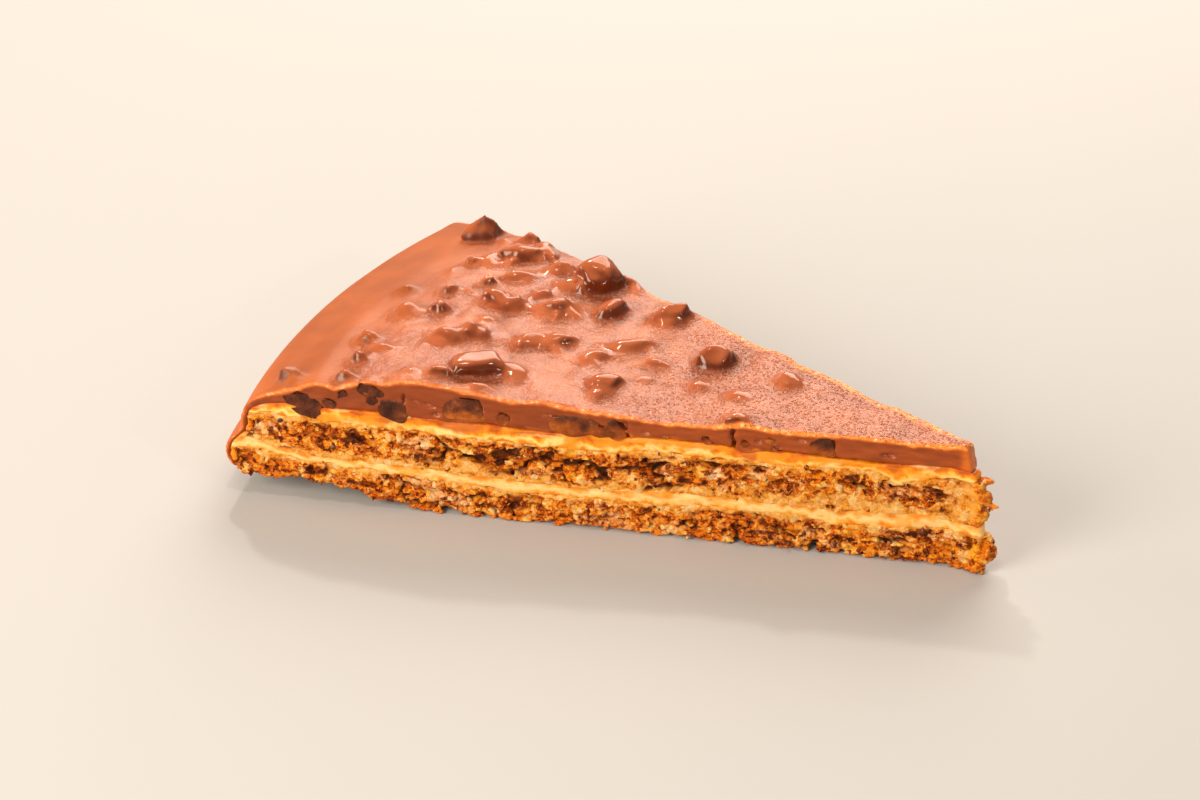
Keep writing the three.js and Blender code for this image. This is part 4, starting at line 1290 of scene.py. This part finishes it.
base = addSponge("base_sponge", None, "baseTop", 131.9, -1.2, 101)
middle = addSponge("middle_sponge", "lowerCreamTop", "middleTop", 128.9, -0.5, 202)
lowerCream = addCream("lower_cream", "baseTop", "lowerCreamTop", 131.4, -0.9, 303, (0.8, 0.8), (6.6, 13.0))
upperCream = addCream("upper_cream", "middleTop", "upperCreamTop", 127.8, 0.6, 404, (0.2, 1.0), (13.2, 18.6))
chocolate = addChocolate()
toffee = addBareToffee()


# Small pieces on the cuts: how many, half their length, width and thickness at the least and the most, and
# how finely their mesh is divided.
bitFacets = 5
scattered = {
    "loose_crumbs": {
        "slot": "sponge", "count": 900, "small": (0.26, 0.2, 0.12), "large": (0.9, 0.6, 0.3), "ring": 1,
    },
    "almond_bits": {
        "slot": "almond", "count": 60, "small": (0.45, 0.34, 0.15), "large": (1.25, 0.85, 0.35), "ring": 2,
    },
    "almond_skins": {
        "slot": "almond", "count": 170, "small": (0.35, 0.25, 0.06), "large": (1.1, 0.7, 0.1), "ring": 1,
    },
}


def seatsOn(surfaces, name, seed):
    bits = scattered[name]
    draw = np.random.default_rng(seed)
    places, facings = [], []
    for piece, points, faces, cut in surfaces:
        shows = cut > -1.3
        places.append(points[shows])
        facings.append(normalsOf(points, faces)[shows])
    places, facings = np.concatenate(places), np.concatenate(facings)
    seats = []
    for pick in draw.integers(0, len(places), bits["count"]):
        size = draw.random() ** 2  # small ones are the most
        halves = np.array(bits["small"]) + size * (np.array(bits["large"]) - np.array(bits["small"]))
        facing = facings[pick] + 0.35 * draw.normal(size=3)
        centre = places[pick] - 0.1 * halves[2] * facings[pick]
        halves *= draw.uniform(0.85, 1.15, 3)
        axes = turned(facing, draw.uniform(0, 6.28))
        centre[2] = max(centre[2], np.linalg.norm(halves * np.array(axes)[:, 2]))  # stays above the floor
        seats.append((centre, halves, axes, bitFacets))
    return seats


crumbs, almonds, skins = (
    scatter(name, seatsOn((base, middle), name, 40 + number), ring=bits["ring"])
    for number, (name, bits) in enumerate(scattered.items())
)
for pieces, finish in (
    ((base[0], middle[0], crumbs), crumbFinish()), ((lowerCream, upperCream), creamFinish()),
    ((chocolate,), chocolateFinish()), ((toffee,), toffeeFinish()), ((almonds,), almondFinish()),
    ((skins,), skinFinish()),
):
    for piece in pieces:
        piece.data.materials.append(finish)


# Light: a wide soft lamp behind for the sheen on the chocolate, a warm one in front for the cut, and small
# ones for glints.
lampDistance = 700.0
lamps = {
    "back": {"azimuth": 190, "elevation": 38, "size": 600, "power": 4.8, "colour": (1.0, 0.91, 0.83)},
    "left": {"azimuth": 282, "elevation": 18, "size": 220, "power": 1.0, "colour": (1.0, 0.9, 0.8)},
    "front": {"azimuth": -25, "elevation": 28, "size": 420, "power": 4.8, "colour": (1.0, 0.93, 0.84)},
    "glint": {"azimuth": 222, "elevation": 46, "size": 50, "power": 1.3, "colour": (1.0, 0.95, 0.9)},
    "side": {"azimuth": 72, "elevation": 34, "size": 40, "power": 0.4, "colour": (1.0, 0.95, 0.9)},
    "low": {"azimuth": 24, "elevation": 9, "size": 46, "power": 0.4, "colour": (1.0, 0.93, 0.86)},
    "above": {"azimuth": 10, "elevation": 80, "size": 60, "power": 0.7, "colour": (1.0, 0.95, 0.9)},
}


def addLamp(name, lamp):
    turn, lift = math.radians(lamp["azimuth"]), math.radians(lamp["elevation"])
    away = Vector((math.sin(turn) * math.cos(lift), -math.cos(turn) * math.cos(lift), math.sin(lift)))
    data = bpy.data.lights.new(name, "AREA")
    data.shape = "DISK"
    data.size = lamp["size"] * millimetre
    data.energy = lamp["power"]
    data.color = lamp["colour"]
    light = bpy.data.objects.new(name, data)
    light.location = away * lampDistance * millimetre
    light.rotation_euler = (-away).to_track_quat("-Z", "Y").to_euler()
    bpy.context.scene.collection.objects.link(light)


for name, lamp in lamps.items():
    addLamp(name, lamp)
studio = {
    "colour": (1.0, 0.97, 0.94, 1.0),
    "strength": 0.34,
    "floorHalf": 2.0,  # in metres
    "floorColour": (188, 182, 174),
}
world = bpy.data.worlds.new("studio")
world.use_nodes = True
background = world.node_tree.nodes["Background"]
background.inputs["Color"].default_value = studio["colour"]
background.inputs["Strength"].default_value = studio["strength"]
bpy.context.scene.world = world
bpy.context.scene.view_settings.view_transform = "Standard"

floorMesh = bpy.data.meshes.new("floor")
half = studio["floorHalf"]
corners = [(-half, -half, 0), (half, -half, 0), (half, half, 0), (-half, half, 0)]
floorMesh.from_pydata(corners, [], [(0, 1, 2, 3)])
floor = bpy.data.objects.new("floor", floorMesh)
bpy.context.scene.collection.objects.link(floor)
pale = Finish("paleFloor")
pale.look(Base_Color=shade(*studio["floorColour"]), Roughness=0.8)
floorMesh.materials.append(pale.material)
report("light and floor")
